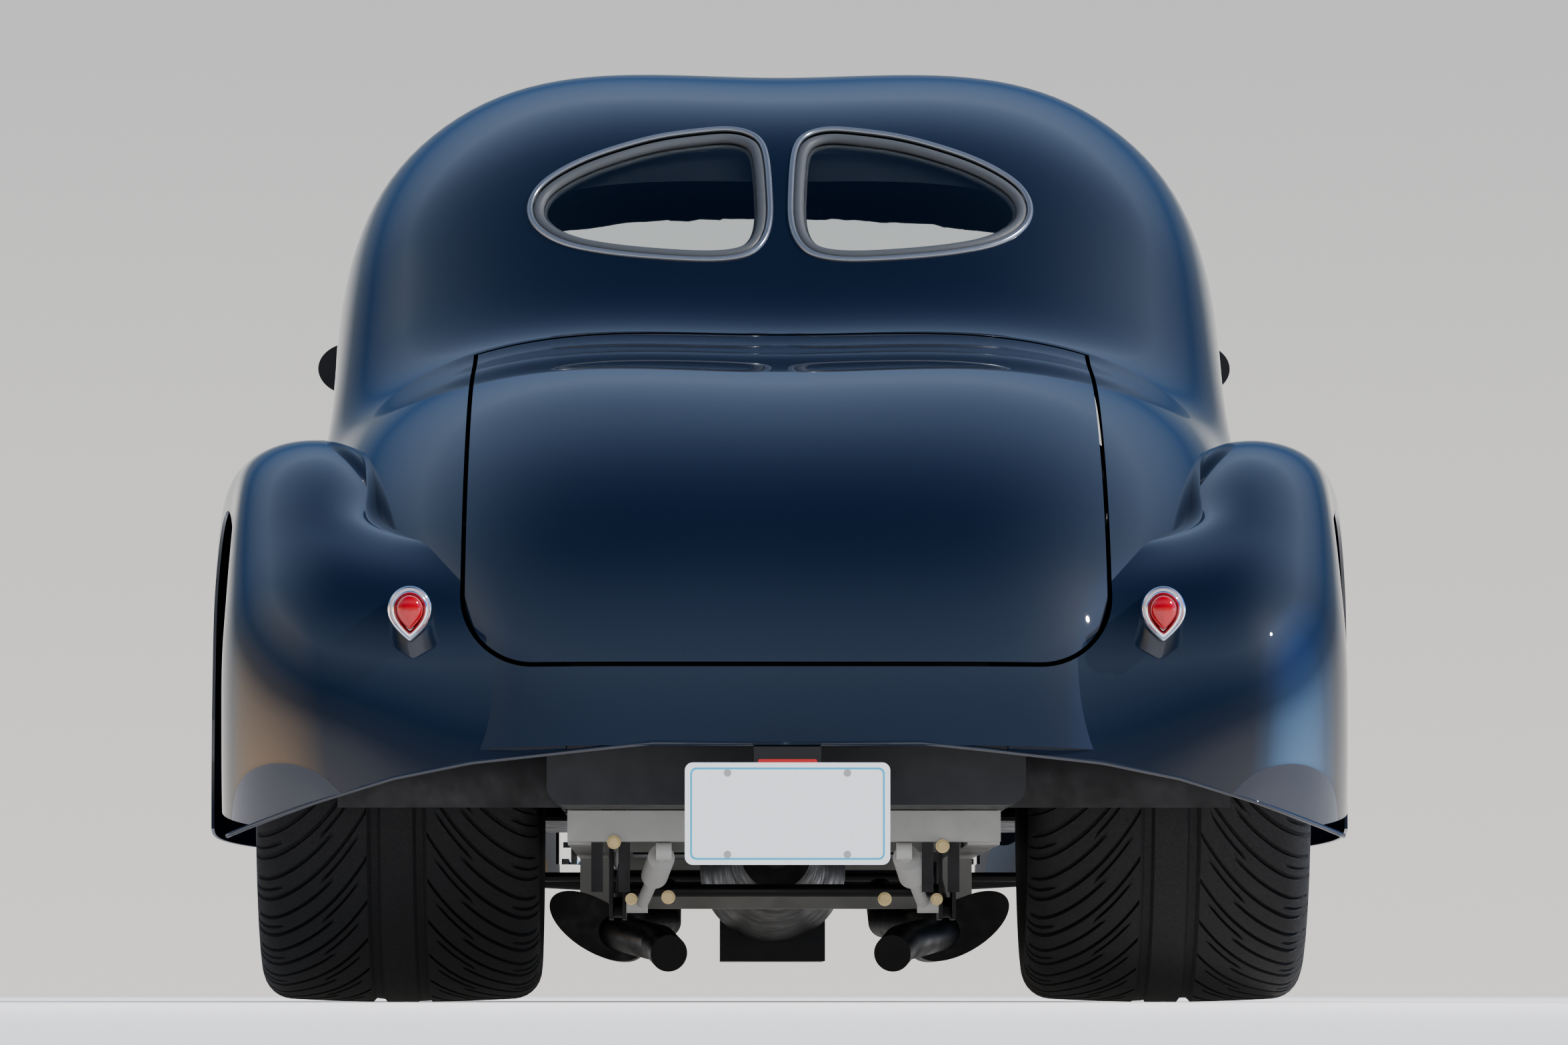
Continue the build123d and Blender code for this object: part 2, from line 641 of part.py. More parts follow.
def head_lamps():
    """Round lamps let into the fenders, each a bucket with a bright ring and a domed lens."""
    lamps = {"head_lamp_rings": [], "head_lamp_lenses": []}
    for side in (-1, 1):
        x = side * HEAD_LAMP_X
        ring = rod((x, HEAD_LAMP_Y - 120, HEAD_LAMP_Z), (x, HEAD_LAMP_Y, HEAD_LAMP_Z), HEAD_LAMP_R)
        ring = fillet(ring.faces().sort_by(Axis.Y)[-1].edges(), 8)
        ring -= rod((x, HEAD_LAMP_Y - 20, HEAD_LAMP_Z), (x, HEAD_LAMP_Y + 5, HEAD_LAMP_Z), HEAD_LAMP_R - 14)
        lens = rod(
            (x, HEAD_LAMP_Y - 20 + SEAT_GAP, HEAD_LAMP_Z), (x, HEAD_LAMP_Y + 12, HEAD_LAMP_Z),
            HEAD_LAMP_R - 14 - SEAT_GAP,
        )
        lens = fillet(lens.faces().sort_by(Axis.Y)[-1].edges(), 14)
        lamps["head_lamp_rings"].append(ring)
        lamps["head_lamp_lenses"].append(lens)
    return {name: joined(pair) for name, pair in lamps.items()}


def number_plate():
    """A bare plate with its bracket up to the pan and a lamp over it."""
    back = TAIL_Y + 2
    row = BODY_ROWS[-1]
    pan_z = SILL_Z + (row[10] - ROOF_WALL) * math.sin(math.radians(row[1])) - SEAT_GAP
    pan_y = row[0] - (row[10] - ROOF_WALL) * math.cos(math.radians(row[1]))
    plate = rear_prism(
        [(-PLATE_W / 2, PLATE_Z), (PLATE_W / 2, PLATE_Z), (PLATE_W / 2, PLATE_Z + PLATE_H),
         (-PLATE_W / 2, PLATE_Z + PLATE_H)],
        [12] * 4, TAIL_Y, back,
    )
    middle = PLATE_Z + PLATE_H / 2
    for x in (-PLATE_HOLE_X / 2, PLATE_HOLE_X / 2):
        for z in (middle - PLATE_HOLE_Z / 2, middle + PLATE_HOLE_Z / 2):
            plate -= rod((x, TAIL_Y - 5, z), (x, back + 5, z), PLATE_HOLE_R)
    arm = block(-50, 50, back, back + 5, PLATE_Z + 40, pan_z)
    foot = block(-50, 50, back, pan_y, pan_z - 6, pan_z)
    return {"number_plate": plate + arm + foot}


def mirrors():
    """Door mirrors: a domed head on a short arm, one on each door."""
    face = Plane(origin=(MIRROR_X, MIRROR_Y - 14, MIRROR_Z), x_dir=(1, 0, 0), z_dir=(0, 1, 0))
    head = extrude(face * Ellipse(MIRROR_W / 2, MIRROR_H / 2), amount=MIRROR_DEPTH)
    head = fillet(head.faces().sort_by(Axis.Y)[-1].edges(), 24)
    arm = rod((MIRROR_X - 6, MIRROR_Y, MIRROR_Z - 20), (MIRROR_X - 28, MIRROR_Y, MIRROR_FOOT_Z), 8)
    whole = head + arm - body_solid([-SEAT_GAP] * 4)
    whole = largest(whole)
    return {"mirror_left": mirror_x(whole), "mirror_right": whole}


def floor_pan():
    """Floor with tunnel, firewall, boot floor and the wheel tubs."""
    inner = body_solid([w + FLOOR_SEAM for w in BODY_WALLS])
    t = FLOOR_WALL
    floor = block(-720, 720, -780, FIREWALL_Y + t, FLOOR_Z, FLOOR_Z + t)
    floor -= block(-TUNNEL_X, TUNNEL_X, -800, 700, 0, 400)
    corner = block(650, 720, FAN_Y - 30, FAN_Y, 0, 400)
    floor = floor - corner - mirror_x(corner)
    tunnel = block(-TUNNEL_X - t, TUNNEL_X + t, STEP_Y, FIREWALL_Y + t, FLOOR_Z, TUNNEL_Z)
    tunnel -= block(-TUNNEL_X, TUNNEL_X, STEP_Y - 5, 700, 0, TUNNEL_Z - t)
    step = block(-TUB_X, TUB_X, STEP_Y - t, STEP_Y, FLOOR_Z, BOOT_Z) - block(
        -TUNNEL_X, TUNNEL_X, -800, 700, 0, TUNNEL_Z - t
    )
    boot = block(-TUB_X, TUB_X, BOOT_REAR_Y, STEP_Y, BOOT_Z - t, BOOT_Z)
    firewall = block(-594, 594, FIREWALL_Y, FIREWALL_Y + t, FLOOR_Z, FIREWALL_Z) - block(
        -TUNNEL_X, TUNNEL_X, 500, 700, 0, TUNNEL_Z - t
    )
    whole = (floor & inner) + tunnel + step + boot + firewall
    whole += block(-500, 500, -440, 130, FLOOR_Z, SEAT_Z) - block(
        -TUNNEL_X, TUNNEL_X, -800, 700, 0, TUNNEL_Z - t
    )
    z = REAR_TYRE_R
    well = x_cylinder(-760, 760, REAR_AXLE_Y, z, TUB_R + TUB_WALL)
    room = x_cylinder(TUB_X, 760, REAR_AXLE_Y, z, TUB_R)
    keep = block(-690, 690, -2000, 0, FLOOR_Z, 1000)
    tubs = (well & keep) - block(-TUB_X + TUB_WALL, TUB_X - TUB_WALL, -2000, 0, 0, 1000)
    tubs = tubs - room - mirror_x(room)
    notch = block(-400, 400, REAR_AXLE_Y - 60, REAR_AXLE_Y + 60, 0, z + AXLE_TUBE_R + 60)
    tubs -= notch
    whole -= well - block(-TUB_X + TUB_WALL, TUB_X - TUB_WALL, -2000, 0, 0, 1000)
    whole += tubs
    return {"floor_pan": whole}


def chassis():
    """Two rails with their crossmembers."""
    rails = block(RAIL_X - RAIL_W / 2, RAIL_X + RAIL_W / 2, RAIL_REAR_Y, RAIL_FRONT_Y, RAIL_Z, RAIL_Z + RAIL_H)
    whole = rails + mirror_x(rails)
    x = RAIL_X + RAIL_W / 2
    for y, low, high, wide in (
        (RAIL_REAR_Y - 25, RAIL_Z + 4, RAIL_Z + 52, x),
        (-830, RAIL_Z, RAIL_Z + 50, x),
        (RAIL_FRONT_Y - 60, RAIL_Z, RAIL_Z + RAIL_H, x),
    ):
        whole += block(-wide, wide, y - 25.5, y + 25.5, low, high)
    drop = block(-x, x, -45, 5, GEARBOX_SEAT_Z - 26, RAIL_Z) - block(
        -RAIL_X + 30, RAIL_X - 30, -50, 10, GEARBOX_SEAT_Z, RAIL_Z + 1
    )
    whole += drop
    return {"chassis": whole}


def rear_axle():
    """Housing with its brackets, drums and the spindles the wheels run on."""
    y, z = REAR_AXLE_Y, REAR_TYRE_R
    whole = x_cylinder(-REAR_DRUM_X, REAR_DRUM_X, y, z, AXLE_TUBE_R)
    whole += Pos(0, y, z) * Sphere(118)
    whole += rod((0, y, z - 10), (0, y + AXLE_NOSE, z - 10), 45)
    for side in (-1, 1):
        whole += x_cylinder(side * REAR_DRUM_X, side * (REAR_DRUM_X + 70), y, z, 128)
        spindle_end = REAR_WHEEL_X + REAR_HUB_X + HUB_BORE - 5
        whole += x_cylinder(side * (REAR_DRUM_X + 70), side * spindle_end, y, z, SPINDLE_R)
        for x in (249, 270):
            whole += block(
                *sorted((side * (x - 3), side * (x + 3))), y - 110, y + 40, BRACKET_Z, z
            )
    return {"rear_axle": whole}


def rear_suspension():
    """Coil-over dampers, lower links and the bar between them."""
    dampers, links = [], []
    for side in (-1, 1):
        top = (side * 186, RAIL_REAR_Y - 25, RAIL_Z + 4 - SEAT_GAP - 14)
        start = (side * 190, RAIL_REAR_Y + 3, RAIL_Z - 20)
        middle = (side * 201, -1460, RAIL_Z - 47)
        low = (side * 222, -1330, BRACKET_Z + 24)
        damper = rod(top, start, 10) + rod(start, middle, 21) + rod(middle, low, 10)
        damper += x_cylinder(side * 174, side * 198, top[1], top[2], 14)
        damper += x_cylinder(side * 212, side * (246 - SEAT_GAP), low[1], low[2], 14)
        dampers.append(damper)
        links.append(rod((side * 259.5, REAR_AXLE_Y + 20, BRACKET_Z + 20), (side * 259.5, -560, 225), 7.0)
                     + x_cylinder(side * (252 + SEAT_GAP), side * (267 - SEAT_GAP), REAR_AXLE_Y + 20,
                                  BRACKET_Z + 20, 16))
    bar = x_cylinder(-246 + SEAT_GAP, 246 - SEAT_GAP, REAR_AXLE_Y - 60, BRACKET_Z + 46, 10)
    return {"rear_dampers": joined(dampers), "rear_links": joined(links + [bar])}


def fuel_tank():
    """The flat tank behind the axle, seen under the pan."""
    tank = block(-TANK_X, TANK_X, -1990, -1640, TANK_Z, BOOT_Z - FLOOR_WALL - SEAT_GAP)
    tank = fillet(tank.edges().filter_by(Axis.Y), 28)
    return {"fuel_tank": tank}


def exhaust():
    """A pipe, a tilted oval muffler and a turned-down tip on each side."""
    sides = []
    for side in (-1, 1):
        muffler = extrude(
            Plane(origin=(side * 300, -260, 124), x_dir=(1, 0, side * 0.62), z_dir=(0, -1, 0))
            * Ellipse(86, 42),
            amount=480,
        )
        pipe = rod((side * 300, -280, 124), (side * 190, 250, 138), 27)
        pipe += rod((side * 190, 250, 138), (side * 190, 560, 192), 27) + Pos(side * 190, 250, 138) * Sphere(27)
        tip = rod((side * 280, -700, 118), (side * 196, -900, 95), 30) + Pos(side * 196, -900, 95) * Sphere(30)
        tip += rod((side * 196, -900, 95), (side * 180, -985, 78), 30)
        sides.append(muffler + pipe + tip)
    return {"exhaust": joined(sides)}


def engine():
    """The engine as one plain block with its oil pan, then gearbox and propeller shaft."""
    block_shape = block(-250, 250, 690, 1320, 262 + SEAT_GAP, 880)
    pan = block(-94, 94, 720, 1230, 72, 262 + 2 * SEAT_GAP)
    gearbox = loft(
        [
            Plane(origin=(0, 689.7, 235), z_dir=(0, -1, 0)) * Circle(130),
            Plane(origin=(0, 480, 235), z_dir=(0, -1, 0)) * Circle(105),
            Plane(origin=(0, GEARBOX_REAR_Y, SHAFT_Z), z_dir=(0, -1, 0)) * Circle(60),
        ]
    )
    front, rear = GEARBOX_REAR_Y - SEAT_GAP, REAR_AXLE_Y + AXLE_NOSE + SEAT_GAP
    rear_z = REAR_TYRE_R - 10
    shaft = rod((0, front - 12, SHAFT_Z), (0, rear + 12, rear_z), 30)
    shaft += rod((0, front, SHAFT_Z), (0, front - 18, SHAFT_Z), 42)
    shaft += rod((0, rear, rear_z), (0, rear + 18, rear_z), 42)
    return {"engine_block": block_shape + pan, "gearbox": joined([gearbox, shaft])}


def front_suspension():
    """Crossmember, towers, arms and the kingpins that the knuckles turn on."""
    y, z = FRONT_AXLE_Y, FRONT_TYRE_R
    whole = block(-KINGPIN_X + 250, KINGPIN_X - 250, y - 40, y + 40, RAIL_Z - 60, RAIL_Z - SEAT_GAP)
    for side in (-1, 1):
        x_in, x_rail = side * 318, side * 320
        whole += block(*sorted((side * 290, side * 334)), y - 95, y + 95, RAIL_Z + RAIL_H + SEAT_GAP, z + 92)
        for reach in (-70, 70):
            whole += rod((x_in, y + reach * 0.5, RAIL_Z - 26), (side * KINGPIN_X, y, RAIL_Z - 12), 13)
            whole += rod((x_rail, y + reach, z + 80), (side * KINGPIN_X, y, z + 90), 11)
        whole += rod((side * KINGPIN_X, y, RAIL_Z - 28), (side * KINGPIN_X, y, RAIL_Z + 2), 25)
        whole += rod((side * KINGPIN_X, y, z + 78), (side * KINGPIN_X, y, z + 104), 24)
        whole += rod((side * KINGPIN_X, y, RAIL_Z - 20), (side * KINGPIN_X, y, z + 90), KINGPIN_R)
    return {"front_suspension": whole}


def knuckles():
    """Each knuckle turns on its kingpin and carries the spindle and the steering arm."""
    y, z = FRONT_AXLE_Y, FRONT_TYRE_R
    low, high = RAIL_Z + 8, z + 72
    boss = rod((KINGPIN_X, y, low), (KINGPIN_X, y, high), 27)
    boss += x_cylinder(KINGPIN_X, KINGPIN_X + 45, y, z, 40)
    boss += x_cylinder(KINGPIN_X + 45, FRONT_WHEEL_X + FRONT_HUB_X + HUB_BORE - 5, y, z, SPINDLE_R)
    boss += rod((KINGPIN_X - 6, y - 15, low + 20), (KINGPIN_X - 27, y - TIE_ROD_BACK, low + 12), 11)
    boss += rod((KINGPIN_X - 27, y - TIE_ROD_BACK, low), (KINGPIN_X - 27, y - TIE_ROD_BACK, low + 18), 17)
    boss -= rod((KINGPIN_X, y, low - 5), (KINGPIN_X, y, high + 5), KINGPIN_R + FIT)
    tie_rod = x_cylinder(-KINGPIN_X + 27, KINGPIN_X - 27, y - TIE_ROD_BACK, low - 22, 8.5)
    eye = KINGPIN_X - 27
    for x in (-eye, eye):
        tie_rod += rod((x, y - TIE_ROD_BACK, low - 26), (x, y - TIE_ROD_BACK, low - SEAT_GAP), 15)
    return {"knuckle_left": mirror_x(boss), "knuckle_right": boss, "tie_rod": tie_rod}


def tyre(radius, width, rim_radius):
    """A tyre turned about X: flat tread, round shoulders, bulged walls."""
    w, shoulder = width / 2, min(46.0, width * 0.16)
    bead = rim_radius + BEAD_GAP
    crown = radius - 5
    points = [
        (-0.84 * w, bead), (-w, bead + 0.45 * (radius - bead)), (-w, crown - shoulder),
        (-w + shoulder, crown), (0, radius), (w - shoulder, crown), (w, crown - shoulder),
        (w, bead + 0.45 * (radius - bead)), (0.84 * w, bead),
    ]
    edges = []
    for i in range(len(points) - 1):
        (xa, ra), (xb, rb) = points[i], points[i + 1]
        edges.append(Line(Vector(xa, ra, 0), Vector(xb, rb, 0)))
    edges.append(Line(Vector(*points[-1], 0), Vector(*points[0], 0)))
    return revolve(Face(Wire(edges)), Axis.X)


def rim(radius, width, hub_x, bore):
    """A rim turned about X with a five-window disc and a hub at hub_x."""
    w = width / 2
    inner = radius - RIM_WALL
    barrel = revolve(
        Face(Wire.make_polygon([Vector(-w, inner, 0), Vector(-w, radius, 0), Vector(w, radius, 0),
                                Vector(w, inner, 0)], close=True)),
        Axis.X,
    )
    disc = x_cylinder(hub_x - 9, hub_x + 9, 0, 0, inner + 2)
    for i in range(5):
        turn = 2 * math.pi * i / 5
        reach = (HUB_R + inner) / 2 + 2
        disc -= x_cylinder(
            hub_x - 20, hub_x + 20, reach * math.cos(turn), reach * math.sin(turn), (inner - HUB_R) / 2 - 9
        )
    hub = x_cylinder(hub_x - 45, hub_x + 34, 0, 0, HUB_R)
    whole = barrel + disc + hub
    whole -= x_cylinder(hub_x - 60, hub_x + HUB_BORE, 0, 0, bore)
    return whole


def wheels():
    parts = {}
    for end, x, y, radius, width, rim_r, rim_w, hub_x in (
        ("front", FRONT_WHEEL_X, FRONT_AXLE_Y, FRONT_TYRE_R, FRONT_TYRE_W, FRONT_RIM_R, 0.82 * FRONT_TYRE_W,
         FRONT_HUB_X),
        ("rear", REAR_WHEEL_X, REAR_AXLE_Y, REAR_TYRE_R, REAR_TYRE_W, REAR_RIM_R, 0.86 * REAR_TYRE_W, REAR_HUB_X),
    ):
        rubber = tyre(radius, width, rim_r)
        metal = rim(rim_r, rim_w, hub_x, SPINDLE_R + FIT)
        for side, name in ((-1, "left"), (1, "right")):
            place = Pos(side * x, y, radius)
            parts[f"tyre_{end}_{name}"] = place * (rubber if side > 0 else mirror_x(rubber))
            parts[f"wheel_{end}_{name}"] = place * (metal if side > 0 else mirror_x(metal))
    return parts


def cabin():
    """Bench seat, dash with steering column, and the steering wheel."""
    low = SEAT_Z + SEAT_GAP
    cushion = block(-545, 545, -330, 170, low, low + 165)
    cushion = fillet(cushion.edges().filter_by(Axis.X), 40)
    back = block(-545, 545, -470, -330 - SEAT_GAP, low, 900)
    back = fillet(back.edges().filter_by(Axis.X), 45)
    dash = block(-590, 590, 480, FIREWALL_Y - SEAT_GAP, 850, FIREWALL_Z - 6)
    dash = fillet(dash.edges().filter_by(Axis.X).sort_by(Axis.Y)[:2], 30)
    hub, toward = Vector(*STEER_HUB), Vector(0, -370, 205).normalized()
    column_end = hub - toward * 60
    column = extrude(Plane(origin=column_end, z_dir=-toward) * Circle(24), amount=450)
    column -= block(-600, 0, FIREWALL_Y - SEAT_GAP, 900, 0, 900)
    column -= extrude(Plane(origin=column_end, z_dir=-toward) * Circle(9 + FIT), amount=60)
    wheel = Torus(188, 12) + Pos(0, 0, -20) * extrude(Circle(34), amount=30)
    wheel += Pos(0, 0, -115) * extrude(Circle(9), amount=115)
    for k in range(3):
        wheel += Rot(0, 0, 90 + 120 * k) * Pos(95, 0, 0) * Box(184, 18, 8)
    wheel = Plane(origin=hub, x_dir=(1, 0, 0), z_dir=toward).location * wheel
    return {
        "bench_seat": joined([cushion, back]), "dash": dash + column, "steering_wheel": wheel,
    }


def build():
    parts = {}
    for make in (
        cab, nose, grille, fenders, head_lamps, tail_lamps, number_plate, mirrors, floor_pan, chassis,
        rear_axle, rear_suspension, fuel_tank, exhaust, engine, front_suspension, knuckles, wheels, cabin,
    ):
        parts.update(make())
    return parts


os.makedirs("parts", exist_ok=True)
for name, shape in build().items():
    export_step(shape, f"parts/{name}.step")
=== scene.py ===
# %% [markdown]
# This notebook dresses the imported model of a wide-tyred street rod coupe, seen from behind. The frame
# gives every CAD node in metres, +Y forward, +X to the right-hand side and +Z up. Each cell makes one
# piece or one finish.

# %% Load the frame
import math

import bmesh
import bpy
import numpy as np
from mathutils import Matrix, Vector


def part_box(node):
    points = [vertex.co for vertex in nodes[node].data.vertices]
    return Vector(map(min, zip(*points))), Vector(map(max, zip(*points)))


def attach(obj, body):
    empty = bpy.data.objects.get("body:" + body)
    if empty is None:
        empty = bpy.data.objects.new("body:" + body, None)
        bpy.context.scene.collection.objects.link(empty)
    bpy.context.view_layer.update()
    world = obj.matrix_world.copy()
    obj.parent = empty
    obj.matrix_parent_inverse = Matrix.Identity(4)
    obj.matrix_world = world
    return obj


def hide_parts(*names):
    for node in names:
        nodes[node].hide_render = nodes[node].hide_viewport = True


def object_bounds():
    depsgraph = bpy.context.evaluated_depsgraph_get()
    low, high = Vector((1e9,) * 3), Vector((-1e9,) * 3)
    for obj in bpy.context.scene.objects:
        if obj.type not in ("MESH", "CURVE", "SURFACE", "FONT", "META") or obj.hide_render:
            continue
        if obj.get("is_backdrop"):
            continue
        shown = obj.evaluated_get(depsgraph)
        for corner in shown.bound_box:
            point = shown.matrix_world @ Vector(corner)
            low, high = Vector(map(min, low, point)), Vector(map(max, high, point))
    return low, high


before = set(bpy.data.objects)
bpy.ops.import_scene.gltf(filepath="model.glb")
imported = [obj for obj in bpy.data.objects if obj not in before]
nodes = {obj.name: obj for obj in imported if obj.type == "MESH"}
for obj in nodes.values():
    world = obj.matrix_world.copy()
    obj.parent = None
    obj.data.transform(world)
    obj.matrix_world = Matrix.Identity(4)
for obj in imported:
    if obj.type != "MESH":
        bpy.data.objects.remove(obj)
cad_box = [list(corner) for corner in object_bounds()]
print("CAD box", cad_box)

# %% [markdown]
# The photo was taken from far behind the car with a long lens, from floor level. A number plate is
# 305 mm wide, which gives 0.99 mm a pixel at the tail, so a lens of about 216 mm stands 14 m back.
# The camera looks slightly up and to the right, as the level line of sight falls low in the frame. A wide
# lens close by would frame the tail as well, but it would make the tail bulge and hide the cab.

# %% Camera
PHOTO_W, PHOTO_H = 2352, 1568
FOCAL_PX = 14143
LEVEL_PX = (1051, 1494)
CAMERA_X, CAMERA_BACK, CAMERA_Z = -0.129, 14.0, 0.01
SENSOR = 36
camera = bpy.data.objects.new("camera", bpy.data.cameras.new("camera"))
bpy.context.scene.collection.objects.link(camera)
camera.data.sensor_width = SENSOR
camera.data.lens = SENSOR * FOCAL_PX / PHOTO_W
pitch = math.atan((LEVEL_PX[1] - PHOTO_H / 2) / FOCAL_PX)
yaw = math.atan((PHOTO_W / 2 - LEVEL_PX[0]) / FOCAL_PX)
camera.location = (CAMERA_X, cad_box[0][1] - CAMERA_BACK, CAMERA_Z)
camera.rotation_euler = (math.pi / 2 + pitch, 0, -yaw)
camera.data.clip_end = 300
bpy.context.scene.camera = camera
print("lens", round(camera.data.lens, 1), "mm, pitch", round(math.degrees(pitch), 2))

# %% [markdown]
# Every new piece is an array of points and an array of faces, worked out whole with numpy and handed to
# the mesh at once. The same shapes could be pushed and pulled by hand, but a formula can be read, changed
# and run again. The floor comes first: one large pale square, which isn't part of the car.

# %% A mesh from arrays
def link(obj):
    """Puts an object into the scene and hands it back."""
    bpy.context.scene.collection.objects.link(obj)
    return obj


def mesh_object(name, verts, faces, smooth=True):
    """A mesh from whole arrays: verts (n, 3) and faces (m, 3 or 4), shaded smooth if asked."""
    mesh = bpy.data.meshes.new(name)
    mesh.from_pydata(np.asarray(verts, float).tolist(), [], np.asarray(faces).tolist())
    mesh.polygons.foreach_set("use_smooth", np.full(len(mesh.polygons), smooth))
    mesh.update()
    return link(bpy.data.objects.new(name, mesh))


FLOOR_HALF = 60.0
floor_corners = np.array([(-1, -1, 0), (1, -1, 0), (1, 1, 0), (-1, 1, 0)]) * FLOOR_HALF
floor = mesh_object("floor", floor_corners, [(0, 1, 2, 3)], smooth=False)
print("floor", 2 * FLOOR_HALF, "m wide")

# %% [markdown]
# A finish is a short chain of nodes. What is the same all over a surface is set on the shader's own
# sockets, and one noise on Object coordinates spreads the roughness and lifts a fine bump, so that no
# surface is one flat tone. A painted image could do this too, but each piece would first have to be
# unwrapped for it.

# %% A finish from nodes
def shader(name, **values):
    """A new material and its Principled shader, with constant values set on the sockets."""
    material = bpy.data.materials.new(name)
    material.use_nodes = True
    bsdf = material.node_tree.nodes["Principled BSDF"]
    for socket, value in values.items():
        bsdf.inputs[socket.replace("_", " ")].default_value = value
    return material, bsdf


def add(material, kind, **settings):
    """One node in the material's tree, its inputs and properties set by name."""
    node = material.node_tree.nodes.new(kind)
    for key, value in settings.items():
        if key.startswith("in_"):
            node.inputs[key[3:].replace("_", " ")].default_value = value
        else:
            setattr(node, key, value)
    return node


def wire(material, source, target):
    """Joins an output to an input."""
    material.node_tree.links.new(source, target)


def object_noise(material, scale, detail, roughness=0.55):
    """Noise on Object coordinates, about scale waves to a metre."""
    coords = add(material, "ShaderNodeTexCoord")
    noise = add(material, "ShaderNodeTexNoise", in_Scale=scale, in_Detail=detail, in_Roughness=roughness)
    wire(material, coords.outputs["Object"], noise.inputs["Vector"])
    return noise.outputs["Fac"]


NOISE_SPAN = (0.3, 0.7)


def rough_and_bump(material, bsdf, value, low, high, depth, distance=0.001):
    """Roughness from low to high and a fine bump, both from one noise value."""
    spread = add(material, "ShaderNodeMapRange", in_From_Min=NOISE_SPAN[0], in_From_Max=NOISE_SPAN[1],
                 in_To_Min=low, in_To_Max=high)
    wire(material, value, spread.inputs["Value"])
    wire(material, spread.outputs["Result"], bsdf.inputs["Roughness"])
    if depth:
        bump = add(material, "ShaderNodeBump", in_Strength=depth, in_Distance=distance)
        wire(material, value, bump.inputs["Height"])
        wire(material, bump.outputs["Normal"], bsdf.inputs["Normal"])


floor_finish, floor_bsdf = shader("floor", Base_Color=(0.93, 0.89, 0.84, 1), Roughness=0.85,
                                  Emission_Color=(1, 0.97, 0.93, 1), Emission_Strength=0.28)
rough_and_bump(floor_finish, floor_bsdf, object_noise(floor_finish, 180, 8), 0.8, 0.95, 0.25, 0.004)
floor.data.materials.append(floor_finish)
floor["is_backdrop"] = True
print("floor finish", len(floor_finish.node_tree.nodes), "nodes")

# %% [markdown]
# Dark lacquer shows nothing but what it reflects, so the surroundings matter as much as the paint. The
# sky is a plain gradient: pale at the horizon, a darker band above it, a brighter blue one higher up and
# deep blue overhead, a little warmer on the left and cooler on the right, so that the flanks pick up
# both. A picture of a real place would give richer reflections, but it would bring in other things.

# %% Sky
def set_stops(node, stops):
    """Gives a colour ramp its stops of (position, colour)."""
    elements = node.color_ramp.elements
    while len(elements) < len(stops):
        elements.new(0.5)
    for element, (position, colour) in zip(elements, stops):
        element.position = position
        element.color = (*colour, 1)


world = bpy.data.worlds.new("studio")
bpy.context.scene.world = world
world.use_nodes = True
sky = world.node_tree
coords = sky.nodes.new("ShaderNodeTexCoord")
split = sky.nodes.new("ShaderNodeSeparateXYZ")
sky.links.new(coords.outputs["Generated"], split.inputs["Vector"])


def sky_ramp(axis, stops):
    """Colour of the sky along one axis of its direction: stops run from 0 at -1 to 1 at +1."""
    half = sky.nodes.new("ShaderNodeMath")
    half.operation = "MULTIPLY_ADD"
    half.inputs[1].default_value = 0.5
    half.inputs[2].default_value = 0.5
    tones = sky.nodes.new("ShaderNodeValToRGB")
    set_stops(tones, stops)
    sky.links.new(split.outputs[axis], half.inputs[0])
    sky.links.new(half.outputs["Value"], tones.inputs["Fac"])
    return tones.outputs["Color"]


SKY_UP = [(0.0, (0.34, 0.32, 0.29)), (0.495, (0.66, 0.63, 0.59)), (0.5, (0.86, 0.83, 0.79)),
          (0.55, (0.62, 0.62, 0.62)), (0.60, (0.20, 0.24, 0.30)), (0.67, (0.08, 0.16, 0.34)),
          (0.80, (0.42, 0.54, 0.76)), (0.89, (0.26, 0.36, 0.56)), (1.0, (0.05, 0.10, 0.24))]
SKY_ACROSS = [(0.0, (2.4, 1.85, 1.35)), (0.08, (1.7, 1.4, 1.1)), (0.18, (1.0, 1.0, 1.0)),
              (0.85, (1.0, 1.0, 1.0)), (0.93, (1.1, 1.4, 1.9)), (1.0, (1.8, 2.9, 4.6))]
tint = sky.nodes.new("ShaderNodeMixRGB")
tint.blend_type = "MULTIPLY"
tint.inputs["Fac"].default_value = 1.0
sky.links.new(sky_ramp("Z", SKY_UP), tint.inputs["Color1"])
sky.links.new(sky_ramp("X", SKY_ACROSS), tint.inputs["Color2"])
sky.links.new(tint.outputs["Color"], sky.nodes["Background"].inputs["Color"])
sky.nodes["Background"].inputs["Strength"].default_value = 1.0
print("sky", len(SKY_UP), "tones up and", len(SKY_ACROSS), "across")

# %% [markdown]
# One sun draws a glint along every bright edge. Two soft panels, one high behind the car and one high
# ahead of it, lift the shade as a studio's lamps do. They stay out of the reflections, where they would
# read as windows.

